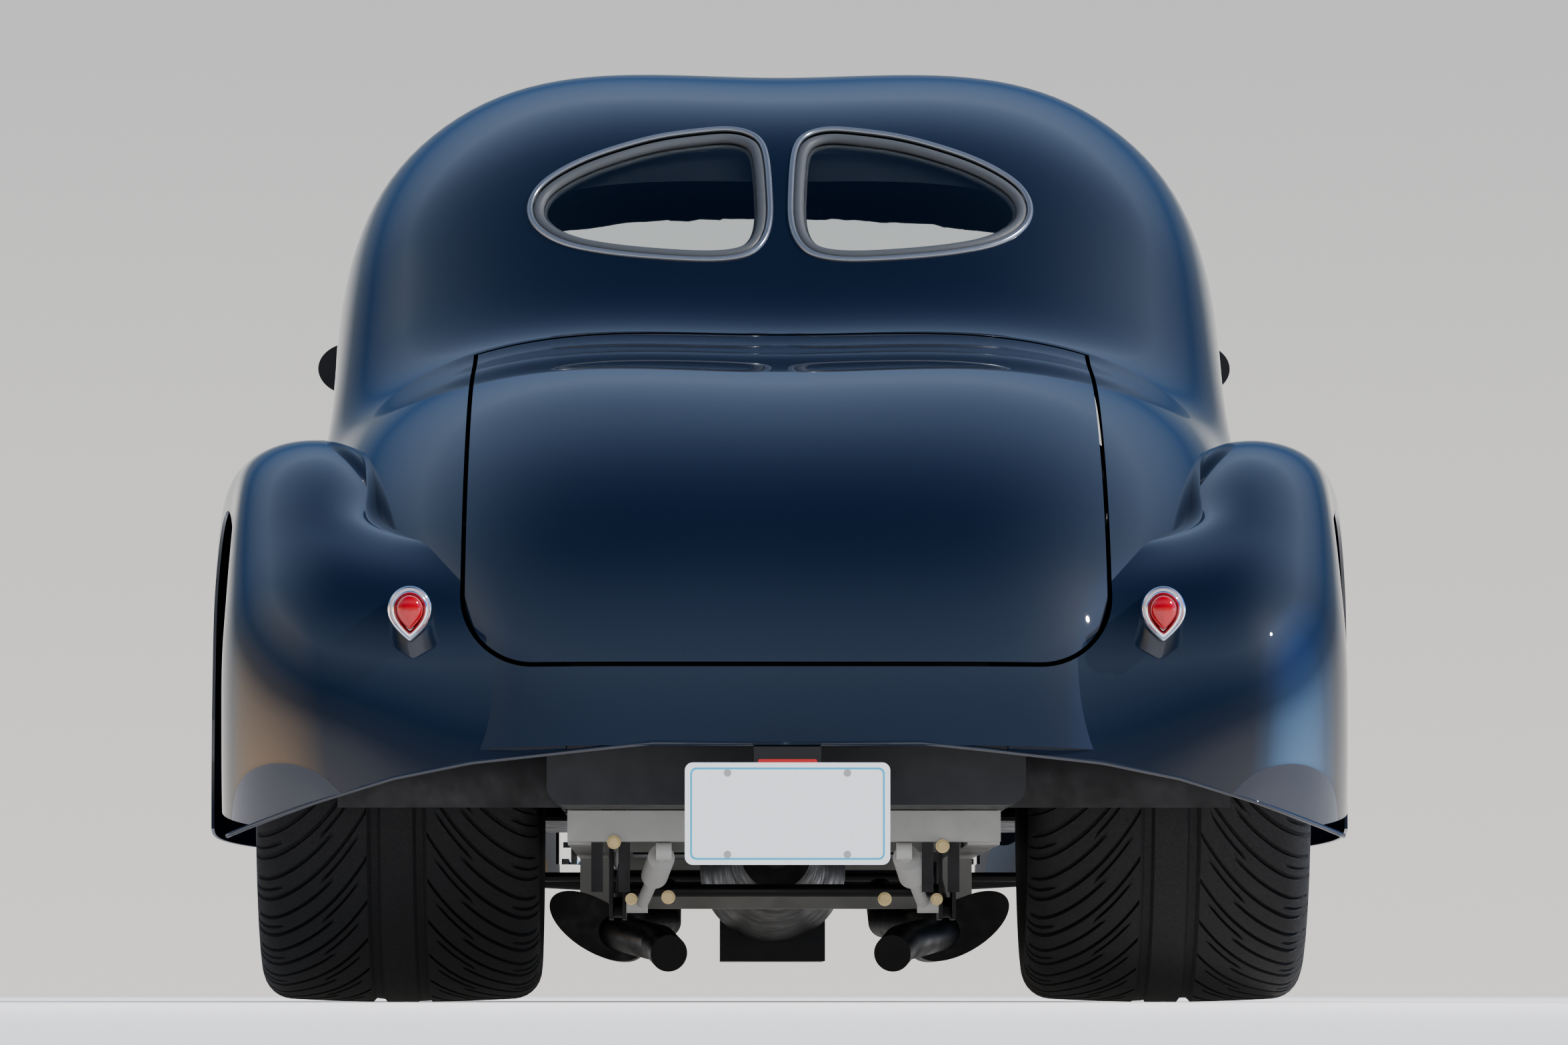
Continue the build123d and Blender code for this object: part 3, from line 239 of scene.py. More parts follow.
# %% Sun and soft panels
SUN_AIM = (-0.80, 0.22, -0.62)
sun = bpy.data.lights.new("sun", "SUN")
sun.energy = 3.0
sun.angle = math.radians(1.2)
sun.color = (1.0, 0.95, 0.88)
sun_lamp = link(bpy.data.objects.new("sun", sun))
sun_lamp.rotation_euler = Vector(SUN_AIM).to_track_quat("-Z", "Y").to_euler()
SOFT_PANELS = [
    ("sky_band", (0, -9.0, 7.5), (0, -1.0, 0.9), (14.0, 3.0), 380),
    ("ahead", (1.0, 8.5, 6.0), (0, 1.0, 0.6), (8.0, 4.0), 150),
]
for name, place, target, size, power in SOFT_PANELS:
    lamp = bpy.data.lights.new(name, "AREA")
    lamp.shape = "ELLIPSE"
    lamp.size, lamp.size_y = size
    lamp.energy = power
    panel = link(bpy.data.objects.new(name, lamp))
    panel.location = place
    panel.rotation_euler = (Vector(target) - Vector(place)).to_track_quat("-Z", "Y").to_euler()
    panel.visible_glossy = False
bpy.context.scene.view_settings.view_transform = "AgX"
bpy.context.scene.view_settings.look = "AgX - Medium High Contrast"
print(len(SOFT_PANELS), "soft panels")

# %% [markdown]
# The body is a car's pressed skin. Its shape is read off a few cross-sections, upright ones along the
# cab and leaning ones that fan out round the tail, as a panel beater's wooden bucks would stand. One
# smooth curve runs through each section's points and another through the sections, so that a
# reflection glides over the whole panel with no step. A subdivided cage would be smooth too, but its
# surface doesn't pass through its points, so a measured width would come out smaller.

# %% Smooth curves through points
MM = 0.001


def curve(knots, points, at):
    """Natural cubic spline: points (n, ...) at parameters knots (n,), read at the parameters at."""
    knots, points, at = np.asarray(knots, float), np.asarray(points, float), np.asarray(at, float)
    n = len(knots)
    flat = points.reshape(n, -1)
    gap = np.diff(knots)
    system = np.eye(n)
    right = np.zeros_like(flat)
    inner = np.arange(1, n - 1)
    system[inner, inner - 1] = gap[:-1]
    system[inner, inner] = 2 * (gap[:-1] + gap[1:])
    system[inner, inner + 1] = gap[1:]
    slope = np.diff(flat, axis=0) / gap[:, None]
    right[inner] = 6 * np.diff(slope, axis=0)
    bend = np.linalg.solve(system, right)
    i = np.clip(np.searchsorted(knots, at, side="right") - 1, 0, n - 2)
    h = gap[i][:, None]
    a, b = (knots[i + 1][:, None] - at[:, None]) / h, (at[:, None] - knots[i][:, None]) / h
    out = a * flat[i] + b * flat[i + 1]
    out += ((a**3 - a) * bend[i] + (b**3 - b) * bend[i + 1]) * h**2 / 6
    return out.reshape(len(at), *points.shape[1:])


def chord_knots(points):
    """0 to 1 along the points, by the length of the straight lines between them."""
    length = np.linalg.norm(np.diff(points, axis=0), axis=-1)
    return np.concatenate([[0], np.cumsum(length)]) / length.sum()


quarter = np.array([(1.0, 0.0), (math.sqrt(0.5), math.sqrt(0.5)), (0.0, 1.0)])
between = curve(chord_knots(quarter), quarter, [0.25])
print("a curve through three points of a circle passes", between.round(3))

# %% [markdown]
# A section is drawn flat, as (across, up), on one side only and mirrored over the crown. Its place in
# space comes last: upright along the cab, and from there turned about one line across the sills, a few
# degrees at a time, until it lies nearly flat under the tail.

# %% Body sections
SILL_Z, FAN_Y = 240.0, -500.0
# Each row: the y it stands on, its lean in degrees, (across, up) at the sill, the belt, the rail and the
# roof's side, and the crown's height.
BODY_ROWS = np.array([
    (640.0, 90, 690, 0, 682, 740, 572, 1000, 400, 1100, 1130),
    (330, 90, 715, 0, 720, 730, 618, 1118, 460, 1222, 1262),
    (-150, 90, 730, 0, 742, 710, 650, 1142, 500, 1272, 1318),
    (FAN_Y, 90, 735, 0, 742, 705, 642, 1128, 480, 1248, 1292),
    (FAN_Y, 77, 740, 120, 740, 720, 626, 1058, 452, 1166, 1212),
    (FAN_Y, 62, 740, 260, 738, 740, 660, 895, 450, 1036, 1072),
    (FAN_Y, 52, 735, 400, 735, 770, 695, 860, 440, 1030, 1054),
    (FAN_Y, 41, 725, 560, 722, 880, 680, 980, 440, 1155, 1180),
    (FAN_Y, 34.5, 719, 671, 714, 968, 668, 1082, 442, 1257, 1288),
    (FAN_Y, 28, 712, 800, 708, 1060, 660, 1180, 440, 1360, 1398),
    (FAN_Y, 21.5, 705, 934, 700, 1149, 649, 1276, 435, 1466, 1508),
    (FAN_Y, 15, 700, 1050, 695, 1220, 640, 1350, 430, 1548, 1590),
    (FAN_Y, 10, 699, 1117, 694, 1257, 639, 1383, 429, 1579, 1621),
    (FAN_Y, 5, 700, 1180, 695, 1290, 640, 1410, 430, 1600, 1642),
])
BODY_WALLS = (55.0, 55.0, 45.0, 35.0)


def inset(points, walls):
    """The outline moved square to itself, to its inner side, by the wall at each point."""
    ahead = np.concatenate([points[1:2] - points[0:1], points[2:] - points[:-2], points[-1:] - points[-2:-1]])
    unit = ahead / np.linalg.norm(ahead, axis=1, keepdims=True)
    return points + np.stack([unit[:, 1], -unit[:, 0]], 1) * np.asarray(walls, float)[:, None]


def arch(half, top):
    """A symmetric arch: the left points going up, the top, and the right points coming down."""
    left = half * (-1, 1)
    return np.concatenate([left, [top], half[::-1]])


def loft(sections, columns, rows, places):
    """Sections of flat points, each a smooth curve, set in space by places and joined by smooth curves.

    The grid's columns run along the sections and its rows from the first section to the last.
    """
    across = np.linspace(0, 1, columns)
    lines = np.stack([place(curve(chord_knots(s), s, across)) for s, place in zip(sections, places)])
    steps = np.linalg.norm(np.diff(lines, axis=0), axis=2).mean(axis=1)
    knots = np.concatenate([[0], np.cumsum(steps)]) / steps.sum()
    return curve(knots, lines, np.linspace(0, 1, rows))


def body_place(row):
    """Flat (across, up) to space: up leans back by the row's tilt from the sill at the row's base y."""
    tilt = np.radians(row[1])
    return lambda p: np.stack(
        [p[:, 0], row[0] - p[:, 1] * np.cos(tilt), SILL_Z + p[:, 1] * np.sin(tilt)], 1
    )


def both_sides(walls):
    """The walls of one side, the crown's, and the same mirrored."""
    return [*walls, walls[-1], *walls[::-1]]


def body_grid(walls=(0, 0, 0, 0), columns=145, rows=230):
    """The skin of cab and tail as a grid of points in mm, moved in by the walls."""
    sections = [
        inset(arch(row[2:10].reshape(4, 2), (0, row[10])), both_sides(walls))
        for row in BODY_ROWS
    ]
    return loft(sections, columns, rows, [body_place(row) for row in BODY_ROWS])


print(len(BODY_ROWS), "sections, walls", BODY_WALLS, "mm")

# %% [markdown]
# Sheet metal shows its thickness wherever it is cut. A Solidify modifier could give it, but here the
# inner skin comes from the same sections, each moved in by its own wall, so that the roof is thinner
# than the sill, and the two grids are closed along their four edges.

# %% A wall between two grids
def quads(rows, columns, start=0, flip=False):
    """The faces of a grid of rows by columns, numbered from start."""
    r, c = np.meshgrid(np.arange(rows - 1), np.arange(columns - 1), indexing="ij")
    a = (r * columns + c + start).ravel()
    face = np.stack([a, a + 1, a + columns + 1, a + columns], 1)
    return face[:, ::-1] if flip else face


def shell_mesh(name, outer, inner):
    """A closed wall between two grids of the same size, its four edges closed."""
    rows, columns = outer.shape[:2]
    n = rows * columns
    verts = np.concatenate([outer.reshape(-1, 3), inner.reshape(-1, 3)]) * MM
    grid = np.arange(n).reshape(rows, columns)
    rim = np.concatenate([grid[0, :-1], grid[:-1, -1], grid[-1, :0:-1], grid[:0:-1, 0]])
    after = np.roll(rim, -1)
    edge = np.stack([rim, rim + n, after + n, after], 1)
    faces = np.concatenate([quads(rows, columns), quads(rows, columns, n, flip=True), edge])
    obj = mesh_object(name, verts, faces)
    return outward(obj)


def outward(obj):
    """The faces of a closed mesh turned to point out of it."""
    bm = bmesh.new()
    bm.from_mesh(obj.data)
    bmesh.ops.recalc_face_normals(bm, faces=bm.faces)
    if bm.calc_volume(signed=True) < 0:
        bmesh.ops.reverse_faces(bm, faces=bm.faces)
    bm.to_mesh(obj.data)
    bm.free()
    return obj


skin = shell_mesh("body_shell_skin", body_grid(), body_grid(BODY_WALLS))
print("body skin", len(skin.data.polygons), "faces")

# %% [markdown]
# Doors, lid and windows are cut from that one skin, as on the real car, where each shut line follows one
# smooth surface. They could be modelled as separate panels, but then their reflections would break at
# the gap. The cutters are outlines with rounded corners, carried straight through the wall.

# %% Outlines and cutters
FLANKS = ((-1, "left"), (1, "right"))


def rounded_outline(points, radii, steps=7):
    """A closed outline whose corners are arcs: each arc touches both sides at its own radius."""
    points = np.asarray(points, float)
    out = []
    for before, corner, after, radius in zip(np.roll(points, 1, 0), points, np.roll(points, -1, 0), radii):
        u, v = before - corner, after - corner
        u, v = u / np.linalg.norm(u), v / np.linalg.norm(v)
        half = math.acos(np.clip(u @ v, -1, 1)) / 2
        middle = corner + (u + v) / np.linalg.norm(u + v) * radius / math.sin(half)
        start, end = corner + u * radius / math.tan(half), corner + v * radius / math.tan(half)
        a = math.atan2(*(start - middle)[::-1])
        turn = (math.atan2(*(end - middle)[::-1]) - a + math.pi) % (2 * math.pi) - math.pi
        at = a + turn * np.linspace(0, 1, steps)
        out.append(middle + radius * np.stack([np.cos(at), np.sin(at)], 1))
    return np.concatenate(out)


def prism(name, near, far):
    """A closed solid between two outlines of the same number of points in space, in mm."""
    n = len(near)
    verts = np.concatenate([near, far]) * MM
    i = np.arange(n)
    sides = np.stack([i, (i + 1) % n, (i + 1) % n + n, i + n], 1)
    mesh = bpy.data.meshes.new(name)
    mesh.from_pydata(verts.tolist(), [], [i[::-1].tolist(), (i + n).tolist(), *sides.tolist()])
    return outward(link(bpy.data.objects.new(name, mesh)))


def side_cutter(name, outline, x0, x1):
    """An outline of (y, z) carried across the car."""
    y, z = outline.T
    return prism(name, np.stack([y * 0 + x0, y, z], 1), np.stack([y * 0 + x1, y, z], 1))


def rear_cutter(name, outline, y0, y1):
    """An outline of (x, z) carried along the car; y0 may be an array, one value a point."""
    x, z = outline.T
    return prism(name, np.stack([x, z * 0 + y0, z], 1), np.stack([x, z * 0 + y1, z], 1))


def block(name, x0, x1, y0, y1, z0, z1):
    """A closed block between two planes along each axis, in mm."""
    return rear_cutter(name, np.array([(x0, z0), (x1, z0), (x1, z1), (x0, z1)], float), y0, y1)


def circle(a, b, radius, count, start=0.0):
    """Points on a circle about (a, b), the first at the angle start."""
    turn = np.linspace(0, 2 * np.pi, count, endpoint=False) + start
    return np.stack([a + radius * np.cos(turn), b + radius * np.sin(turn)], 1)


square = [(-10, -10), (10, -10), (10, 10), (-10, 10)]
print("a square with four round corners has", len(rounded_outline(square, [3] * 4)), "points")

# %% [markdown]
# A Boolean takes one closed mesh from another. Its result is read back at once and becomes the piece's
# own mesh, so that nothing is left live. The edges that it makes are then marked sharp, while the panel
# stays smooth.

# %% Cutting
CUT_SOLVER = "MANIFOLD"


def carve(obj, cutter, how="DIFFERENCE"):
    """Cuts, joins or crosses obj with a closed cutter, and puts the result into obj's mesh."""
    cut = obj.modifiers.new("cut", "BOOLEAN")
    cut.operation = how
    cut.solver = CUT_SOLVER
    cut.object = cutter
    bpy.context.view_layer.update()
    made = bpy.data.meshes.new_from_object(obj.evaluated_get(bpy.context.evaluated_depsgraph_get()))
    obj.modifiers.clear()
    old, obj.data = obj.data, made
    bpy.data.meshes.remove(old)
    bpy.data.objects.remove(cutter)
    return obj


def copy_of(obj, name):
    """A second object with a mesh of its own."""
    twin = obj.copy()
    twin.data = obj.data.copy()
    twin.name = name
    return link(twin)


def finish_edges(obj, angle):
    """Smooth over gentle turns and crisp at the cut edges."""
    mesh = obj.data
    mesh.polygons.foreach_set("use_smooth", np.ones(len(mesh.polygons), bool))
    mesh.set_sharp_from_angle(angle=math.radians(angle))
    mesh.update()
    return obj


print("cuts are made by the", CUT_SOLVER.lower(), "solver")

# %% [markdown]
# The door's front edge leans with the windscreen post, and its window keeps an even rail inside the
# frame. Both outlines are read from the side, and grow by the shut line's width where they cut the body.

# %% Door and side window
DOOR_FRONT, DOOR_REAR, DOOR_BOTTOM, DOOR_TOP = 545.0, -420.0, 300.0, 1392.0
WINDOW_BOTTOM, WINDOW_RAIL, COWL_Z = 1015.0, 46.0, 985.0
SCREEN = ((548.0, 1078.0), (235.0, 1475.0))
SHUT = 7.0
DOOR_LEAN, DOOR_BACK_Y, DOOR_BACK_Z = 62.0, 60.0, 130.0
WINDOW_BACK, WINDOW_AHEAD, WINDOW_SLOPE_Y, WINDOW_SLOPE_Z = 22.0, 110.0, 40.0, 80.0


def screen_y(z):
    """The y of the windscreen's straight line at the height z."""
    (y0, z0), (y1, z1) = SCREEN
    return y0 + (z - z0) * (y1 - y0) / (z1 - z0)


def door_outline(grow):
    """The door from the side as (y, z), moved outward by grow."""
    front, rear, low, top = DOOR_FRONT + grow, DOOR_REAR - grow, DOOR_BOTTOM - grow, DOOR_TOP + grow
    points = [(rear, low), (front, low), (front, COWL_Z + 10),
              (screen_y(DOOR_TOP) - DOOR_LEAN + grow, top), (rear + DOOR_BACK_Y, top),
              (rear, DOOR_TOP - DOOR_BACK_Z)]
    return rounded_outline(points, [60 + grow, 40 + grow, 60, 40 + grow, 55 + grow, 90 + grow])


def window_outline(grow):
    """The side window as (y, z), moved outward by grow."""
    rear, top = DOOR_REAR + WINDOW_RAIL + WINDOW_BACK, DOOR_TOP - WINDOW_RAIL
    points = [
        (rear - grow, WINDOW_BOTTOM - grow), (DOOR_FRONT - WINDOW_AHEAD + grow, WINDOW_BOTTOM - grow),
        (screen_y(DOOR_TOP) - DOOR_LEAN - WINDOW_RAIL + grow, top + grow),
        (rear + WINDOW_SLOPE_Y - grow, top + grow), (rear - grow, top - WINDOW_SLOPE_Z),
    ]
    return rounded_outline(points, [30, 24, 24, 45, 60])


print("door", np.ptp(door_outline(0), axis=0).round(), "mm")

# %% [markdown]
# The split rear window is two teardrops. Arcs at four corners would leave straight sides, so the outline
# is one closed curve through points read round the pane, and the left pane mirrors the right.

# %% Rear window
REAR_WINDOW = np.array([
    (17, 1310), (21, 1371), (36, 1414), (77, 1431), (130, 1428), (194, 1418), (258, 1400), (312, 1380),
    (355, 1358), (389, 1332), (406, 1302), (404, 1272), (385, 1248), (355, 1230), (312, 1217),
    (258, 1208), (200, 1202), (130, 1198), (77, 1201), (43, 1214), (24, 1240), (17, 1272)], float)
PANE_POINTS = 132


def pane_outline(side, grow):
    """One teardrop pane from behind: a closed spline through its points; grow moves it outward.

    The points are laid round three times, and the middle round is read, where the spline has no ends.
    """
    n = len(REAR_WINDOW)
    around = np.concatenate([REAR_WINDOW] * 3)
    outline = curve(np.arange(3 * n), around, np.linspace(n, 2 * n, PANE_POINTS + 1)[:-1])[::-1]
    unit = np.roll(outline, -1, 0) - np.roll(outline, 1, 0)
    unit = unit / np.linalg.norm(unit, axis=1, keepdims=True)
    outline = outline + np.stack([unit[:, 1], -unit[:, 0]], 1) * grow
    return outline * (side, 1)


print("pane", np.ptp(pane_outline(1, 0), axis=0).round(), "mm")

# %% [markdown]
# The lid is one wide panel with two large round corners below. From behind it is an outline, and its
# front end lies on a leaning plane, as the body's own sections do, so that the shut line crosses the skin
# squarely. A straight cut from above would leave a thin edge there.

# %% Deck lid
LID_X, LID_BOTTOM, LID_CORNER, LID_TILT = 485.0, 509.0, 105.0, 51.0
LID_REACH, LID_ARM, BEHIND_Y = 1400, 1000, -2600


def lid_cutter(name, grow):
    """The lid from behind, its front end on the leaning plane of the shut line."""
    x, z = LID_X + grow, LID_BOTTOM - grow
    corners = [(-x, z), (x, z), (x, LID_REACH), (-x, LID_REACH)]
    outline = rounded_outline(corners, [LID_CORNER + grow] * 2 + [5] * 2, 16)
    tilt = math.radians(LID_TILT) + grow / LID_ARM
    front = FAN_Y - (outline[:, 1] - SILL_Z) / math.tan(tilt)
    return rear_cutter(name, outline, front, BEHIND_Y)


lid = carve(copy_of(skin, "deck_lid_skin"), lid_cutter("lid_cut", 0), "INTERSECT")
print("lid", len(lid.data.polygons), "faces")

# %% [markdown]
# The order matters. Doors and lid are taken out of the whole skin first. The same outlines, grown by the
# shut line, are then cut from the body, which leaves an even gap all round.

# %% Doors, windows and wheel wells cut out
INSIDE_X, OUTSIDE_X = 300, 900
PANE_CUT_Y = (-1300, -620)
REAR_AXLE, FRONT_AXLE = (-1225.0, 368.0), (1417.0, 325.0)
WELL_X, WELL_RADIUS = 345, 395.3
SCREEN_AHEAD_Y, SCREEN_ABOVE_Z = 900, 1700
doors = {}
for side, word in FLANKS:
    ends = (INSIDE_X * side, OUTSIDE_X * side)
    door = copy_of(skin, f"door_{word}_skin")
    carve(door, side_cutter("door_cut", door_outline(0), *ends), "INTERSECT")
    doors[word] = carve(door, side_cutter("window_cut", window_outline(0), *ends))
for side, _ in FLANKS:
    ends = (INSIDE_X * side, OUTSIDE_X * side)
    carve(skin, side_cutter("door_cut", door_outline(SHUT), *ends))
    carve(skin, rear_cutter("pane_cut", pane_outline(side, 0), *PANE_CUT_Y))
    well = circle(*REAR_AXLE, WELL_RADIUS, 96)
    carve(skin, side_cutter("well_cut", well, WELL_X * side, OUTSIDE_X * side))
carve(skin, lid_cutter("lid_cut", SHUT))
screen_cut = np.array([(screen_y(COWL_Z), COWL_Z), (screen_y(SCREEN_ABOVE_Z), SCREEN_ABOVE_Z),
                       (SCREEN_AHEAD_Y, SCREEN_ABOVE_Z), (SCREEN_AHEAD_Y, COWL_Z)])
carve(skin, side_cutter("screen_cut", screen_cut, -OUTSIDE_X, OUTSIDE_X))
print("skin", len(skin.data.polygons), "faces, doors", [len(door.data.polygons) for door in doors.values()])

# %% [markdown]
# Each fender is a fan of arches about its wheel's axle, so that the opening stays round and the crown
# rises and falls as one curve. Upright sections would do for a long flank, but would have to crowd where
# the fender turns down. At the tail the arch begins just under the body's own skin, and so the two
# surfaces part slowly: the sharp crease beside the lid fades out below the tail lamps.

# %% Fender sections
# Each row: the angle about the axle, 0 ahead and 90 up, and (across, radius) from the body to the lip.
REAR_FENDER_ROWS = [
    (-12, [(715, 600), (835, 565), (918, 490), (926, 415)]),
    (10, [(715, 600), (832, 560), (918, 488), (926, 415)]),
    (25, [(707, 586), (827, 550), (915, 485), (923, 414)]),
    (40, [(700, 560), (818, 535), (910, 478), (918, 412)]),
    (55, [(697, 527), (801, 521), (902, 472), (909, 411)]),
    (70, [(690, 500), (775, 512), (890, 468), (898, 410)]),
    (85, [(671, 491), (740, 510), (873, 467), (886, 410)]),
    (100, [(650, 500), (712, 522), (856, 478), (874, 412)]),
    (112, [(638, 520), (703, 548), (846, 501), (866, 415)]),
    (125, [(625, 548), (702, 588), (838, 535), (860, 418)]),
    (135, [(608, 567), (701, 621), (835, 560), (858, 419)]),
    (145, [(575, 608), (700, 665), (834, 590), (857, 422)]),
    (155, [(430, 770), (540, 733), (701, 734), (835, 632), (856, 426)]),
    (165, [(330, 853), (440, 822), (560, 808), (705, 796), (838, 665), (856, 425)]),
    (173, [(330, 876), (440, 845), (565, 828), (708, 809), (839, 667), (856, 422)]),
    (181, [(330, 897), (440, 862), (568, 838), (710, 809), (840, 661), (856, 421)]),
    (188, [(330, 912), (440, 876), (570, 850), (712, 812), (840, 660), (856, 425)]),
]
FRONT_FENDER_ROWS = [
    (-8, [(400, 640), (640, 712), (830, 620), (872, 385)]),
    (20, [(380, 620), (640, 728), (832, 620), (875, 385)]),
    (45, [(300, 520), (660, 640), (840, 545), (878, 385)]),
    (70, [(370, 430), (680, 556), (855, 492), (882, 385)]),
    (95, [(425, 405), (700, 530), (865, 480), (885, 385)]),
    (120, [(480, 460), (720, 535), (870, 482), (887, 385)]),
    (145, [(570, 650), (760, 590), (875, 500), (888, 385)]),
    (165, [(650, 775), (800, 660), (880, 540), (889, 385)]),
    (184, [(690, 774), (830, 700), (886, 600), (890, 385)]),
]
FENDER_TRIM = np.array([(200, 386), (472, 358), (589, 335), (705, 300), (816, 262), (980, 200)])


def fan_place(angle, axle):
    """Flat (across, radius) to space: the radius is turned about the axle by the angle."""
    turn = np.radians(angle)
    return lambda p: np.stack(
        [p[:, 0], axle[0] + p[:, 1] * np.cos(turn), axle[1] + p[:, 1] * np.sin(turn)], 1
    )


def fender_grid(rows, axle, wall=0.0, columns=90, steps=150):
    """A fan of arches: across from the body and radius from the axle, turned by each row's angle."""
    sections = [inset(np.array(points, float), [wall] * len(points)) for _, points in rows]
    return loft(sections, columns, steps, [fan_place(angle, axle) for angle, _ in rows])


def mirror_copy(obj, name):
    """The same piece on the other side of the car, its faces turned back outward."""
    twin = copy_of(obj, name)
    points = np.empty(len(twin.data.vertices) * 3)
    twin.data.vertices.foreach_get("co", points)
    points[::3] *= -1
    twin.data.vertices.foreach_set("co", points)
    twin.data.flip_normals()
    return twin


rear_outer = fender_grid(REAR_FENDER_ROWS, REAR_AXLE)
front_outer = fender_grid(FRONT_FENDER_ROWS, FRONT_AXLE)
print("fender widths", np.ptp(rear_outer[..., 0]).round(), np.ptp(front_outer[..., 0]).round(), "mm")

# %% [markdown]
# The left fender is the right one mirrored. Mirroring turns every face inside out, so the faces are
# turned back. The rear fender is trimmed along the tail's lower edge and by the lid's shut line, the
# front one by the door's end and by a round hole for its lamp.

# %% Fenders
LIP = 5.0
TRIM_CUT_Y = -1700
LAMP_X, LAMP_Z, LAMP_HOLE, LAMP_CUT_Y = 645, 620, 92.3, (1900, 2300)
COWL_Y, SEAM, DOOR_SIDE_Z = 640, 0.3, (0, 900)
rear_fender = shell_mesh("rear_fender_right", rear_outer, fender_grid(REAR_FENDER_ROWS, REAR_AXLE, LIP))
trim = np.concatenate([FENDER_TRIM, [(FENDER_TRIM[-1, 0], 0), (FENDER_TRIM[0, 0], 0)]])
carve(rear_fender, rear_cutter("trim_cut", trim, BEHIND_Y, TRIM_CUT_Y))
carve(rear_fender, lid_cutter("lid_cut", SHUT))
front_fender = shell_mesh("front_fender_right", front_outer, fender_grid(FRONT_FENDER_ROWS, FRONT_AXLE, LIP))
carve(front_fender, rear_cutter("lamp_cut", circle(LAMP_X, LAMP_Z, LAMP_HOLE, 64), *LAMP_CUT_Y))
carve(front_fender, block("door_side_cut", 0, OUTSIDE_X, 0, COWL_Y + SEAM, *DOOR_SIDE_Z))
fenders = {
    "rear_fenders": [rear_fender, mirror_copy(rear_fender, "rear_fender_left")],
    "front_fenders": [front_fender, mirror_copy(front_fender, "front_fender_left")],
}
print("fender faces", len(rear_fender.data.polygons), len(front_fender.data.polygons))

# %% [markdown]
# Hood and cowl belong to one surface of upright sections that narrows to the nose. The nose's own sides
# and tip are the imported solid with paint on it, because a second skin there would only copy it.

# %% Hood and cowl
# Each row: its y, (across, z) at three heights going up, and the crown's height.
NOSE_ROWS = np.array([
    (500, 680, 470, 664, 905, 482, 1052, 1097),
    (650, 668, 480, 652, 900, 468, 1046, 1090),
    (1000, 562, 600, 552, 880, 390, 1010, 1062),
    (1400, 440, 600, 434, 840, 310, 975, 1030),
    (1800, 315, 590, 311, 800, 225, 925, 985),
    (2020, 215, 590, 211, 750, 150, 850, 895),
    (2110, 140, 592, 134, 700, 88, 772, 802),
    (2165, 80, 594, 76, 650, 50, 694, 712),
])
NOSE_WALL = 26.0
HOOD_X, HOOD_FRONT_Y, HOOD_Z = 800, 1960, (815, 1300)
COWL_X, COWL_REAR_Y, COWL_CUT_Z = 645, 552, (925, 1300)


def nose_grid(wall=0.0, columns=111, steps=120):
    """The nose and hood surface from upright sections, moved in by the wall."""
    sections = [inset(arch(row[1:7].reshape(3, 2), (0, row[7])), [wall] * 7) for row in NOSE_ROWS]
    places = [lambda p, y=row[0]: np.stack([p[:, 0], p[:, 0] * 0 + y, p[:, 1]], 1) for row in NOSE_ROWS]
    return loft(sections, columns, steps, places)


cowl = shell_mesh("cowl_skin", nose_grid(), nose_grid(NOSE_WALL))
hood = copy_of(cowl, "hood_skin")
carve(hood, block("hood_cut", -HOOD_X, HOOD_X, COWL_Y + SHUT, HOOD_FRONT_Y, *HOOD_Z), "INTERSECT")
carve(cowl, block("cowl_keep", -COWL_X, COWL_X, COWL_REAR_Y, COWL_Y, *COWL_CUT_Z), "INTERSECT")
print("hood", len(hood.data.polygons), "faces, cowl", len(cowl.data.polygons))

# %% [markdown]
# A tyre is one section turned about its axle. Its tread falls a little towards the shoulders, each
# shoulder is a quarter circle, and the wall draws in towards the rim. A profile turned by formula leaves
# the grid free to bend along the grooves, which a turned Screw modifier wouldn't.

# %% Tyre section
# Each size: outer radius, width and rim radius.
REAR_TYRE, FRONT_TYRE = (368, 440, 194.2), (325, 195, 192.2)
CROWN_DROP = 5


def tyre_profile(radius, width, rim):
    """Half section of a tyre as (across, radius): flat tread, quarter-round shoulder, wall drawn in."""
    half, shoulder = width / 2, min(46.0, width * 0.16)
    edge = radius - CROWN_DROP
    turn = np.linspace(0, np.pi / 2, 9)[1:]
    drop = radius - CROWN_DROP * np.linspace(0, 1, 30) ** 2
    flat = np.stack([np.linspace(0, half - shoulder, 30), drop], 1)
    bend = np.stack([half - shoulder + shoulder * np.sin(turn), edge - shoulder * (1 - np.cos(turn))], 1)
    share = np.linspace(0, 1, 12)[1:]
    low = edge - shoulder
    wall = np.stack([half - 1 - width * 0.09 * share**2, low - (low - rim) * share], 1)
    return flat, bend, wall


print("rear tyre section", [len(part) for part in tyre_profile(*REAR_TYRE)], "points")

# %% [markdown]
# The tread is pressed into that section. Each cross groove is two close steps in the grid, so its edges
# stay crisp, and the whole grid is swept back towards the shoulders, which gives the directional look.
# The right half runs half a pitch behind the left one, and long grooves run all the way round.

# %% Tread
TREAD_STEPS = np.array([0, 0.09, 0.105, 0.27, 0.285, 0.355, 0.37, 0.485,
                        0.50, 0.58, 0.595, 0.77, 0.785, 0.845, 0.86, 0.985])
# Each cross groove: its middle and half width in pitches, then from and to, in shares of the half tread.
CROSS_GROOVES = [(0.045, 0.05, 0.19, 0.93), (0.32, 0.037, 0.24, 0.46),
                 (0.54, 0.042, 0.43, 0.90), (0.815, 0.032, 0.74, 0.98)]
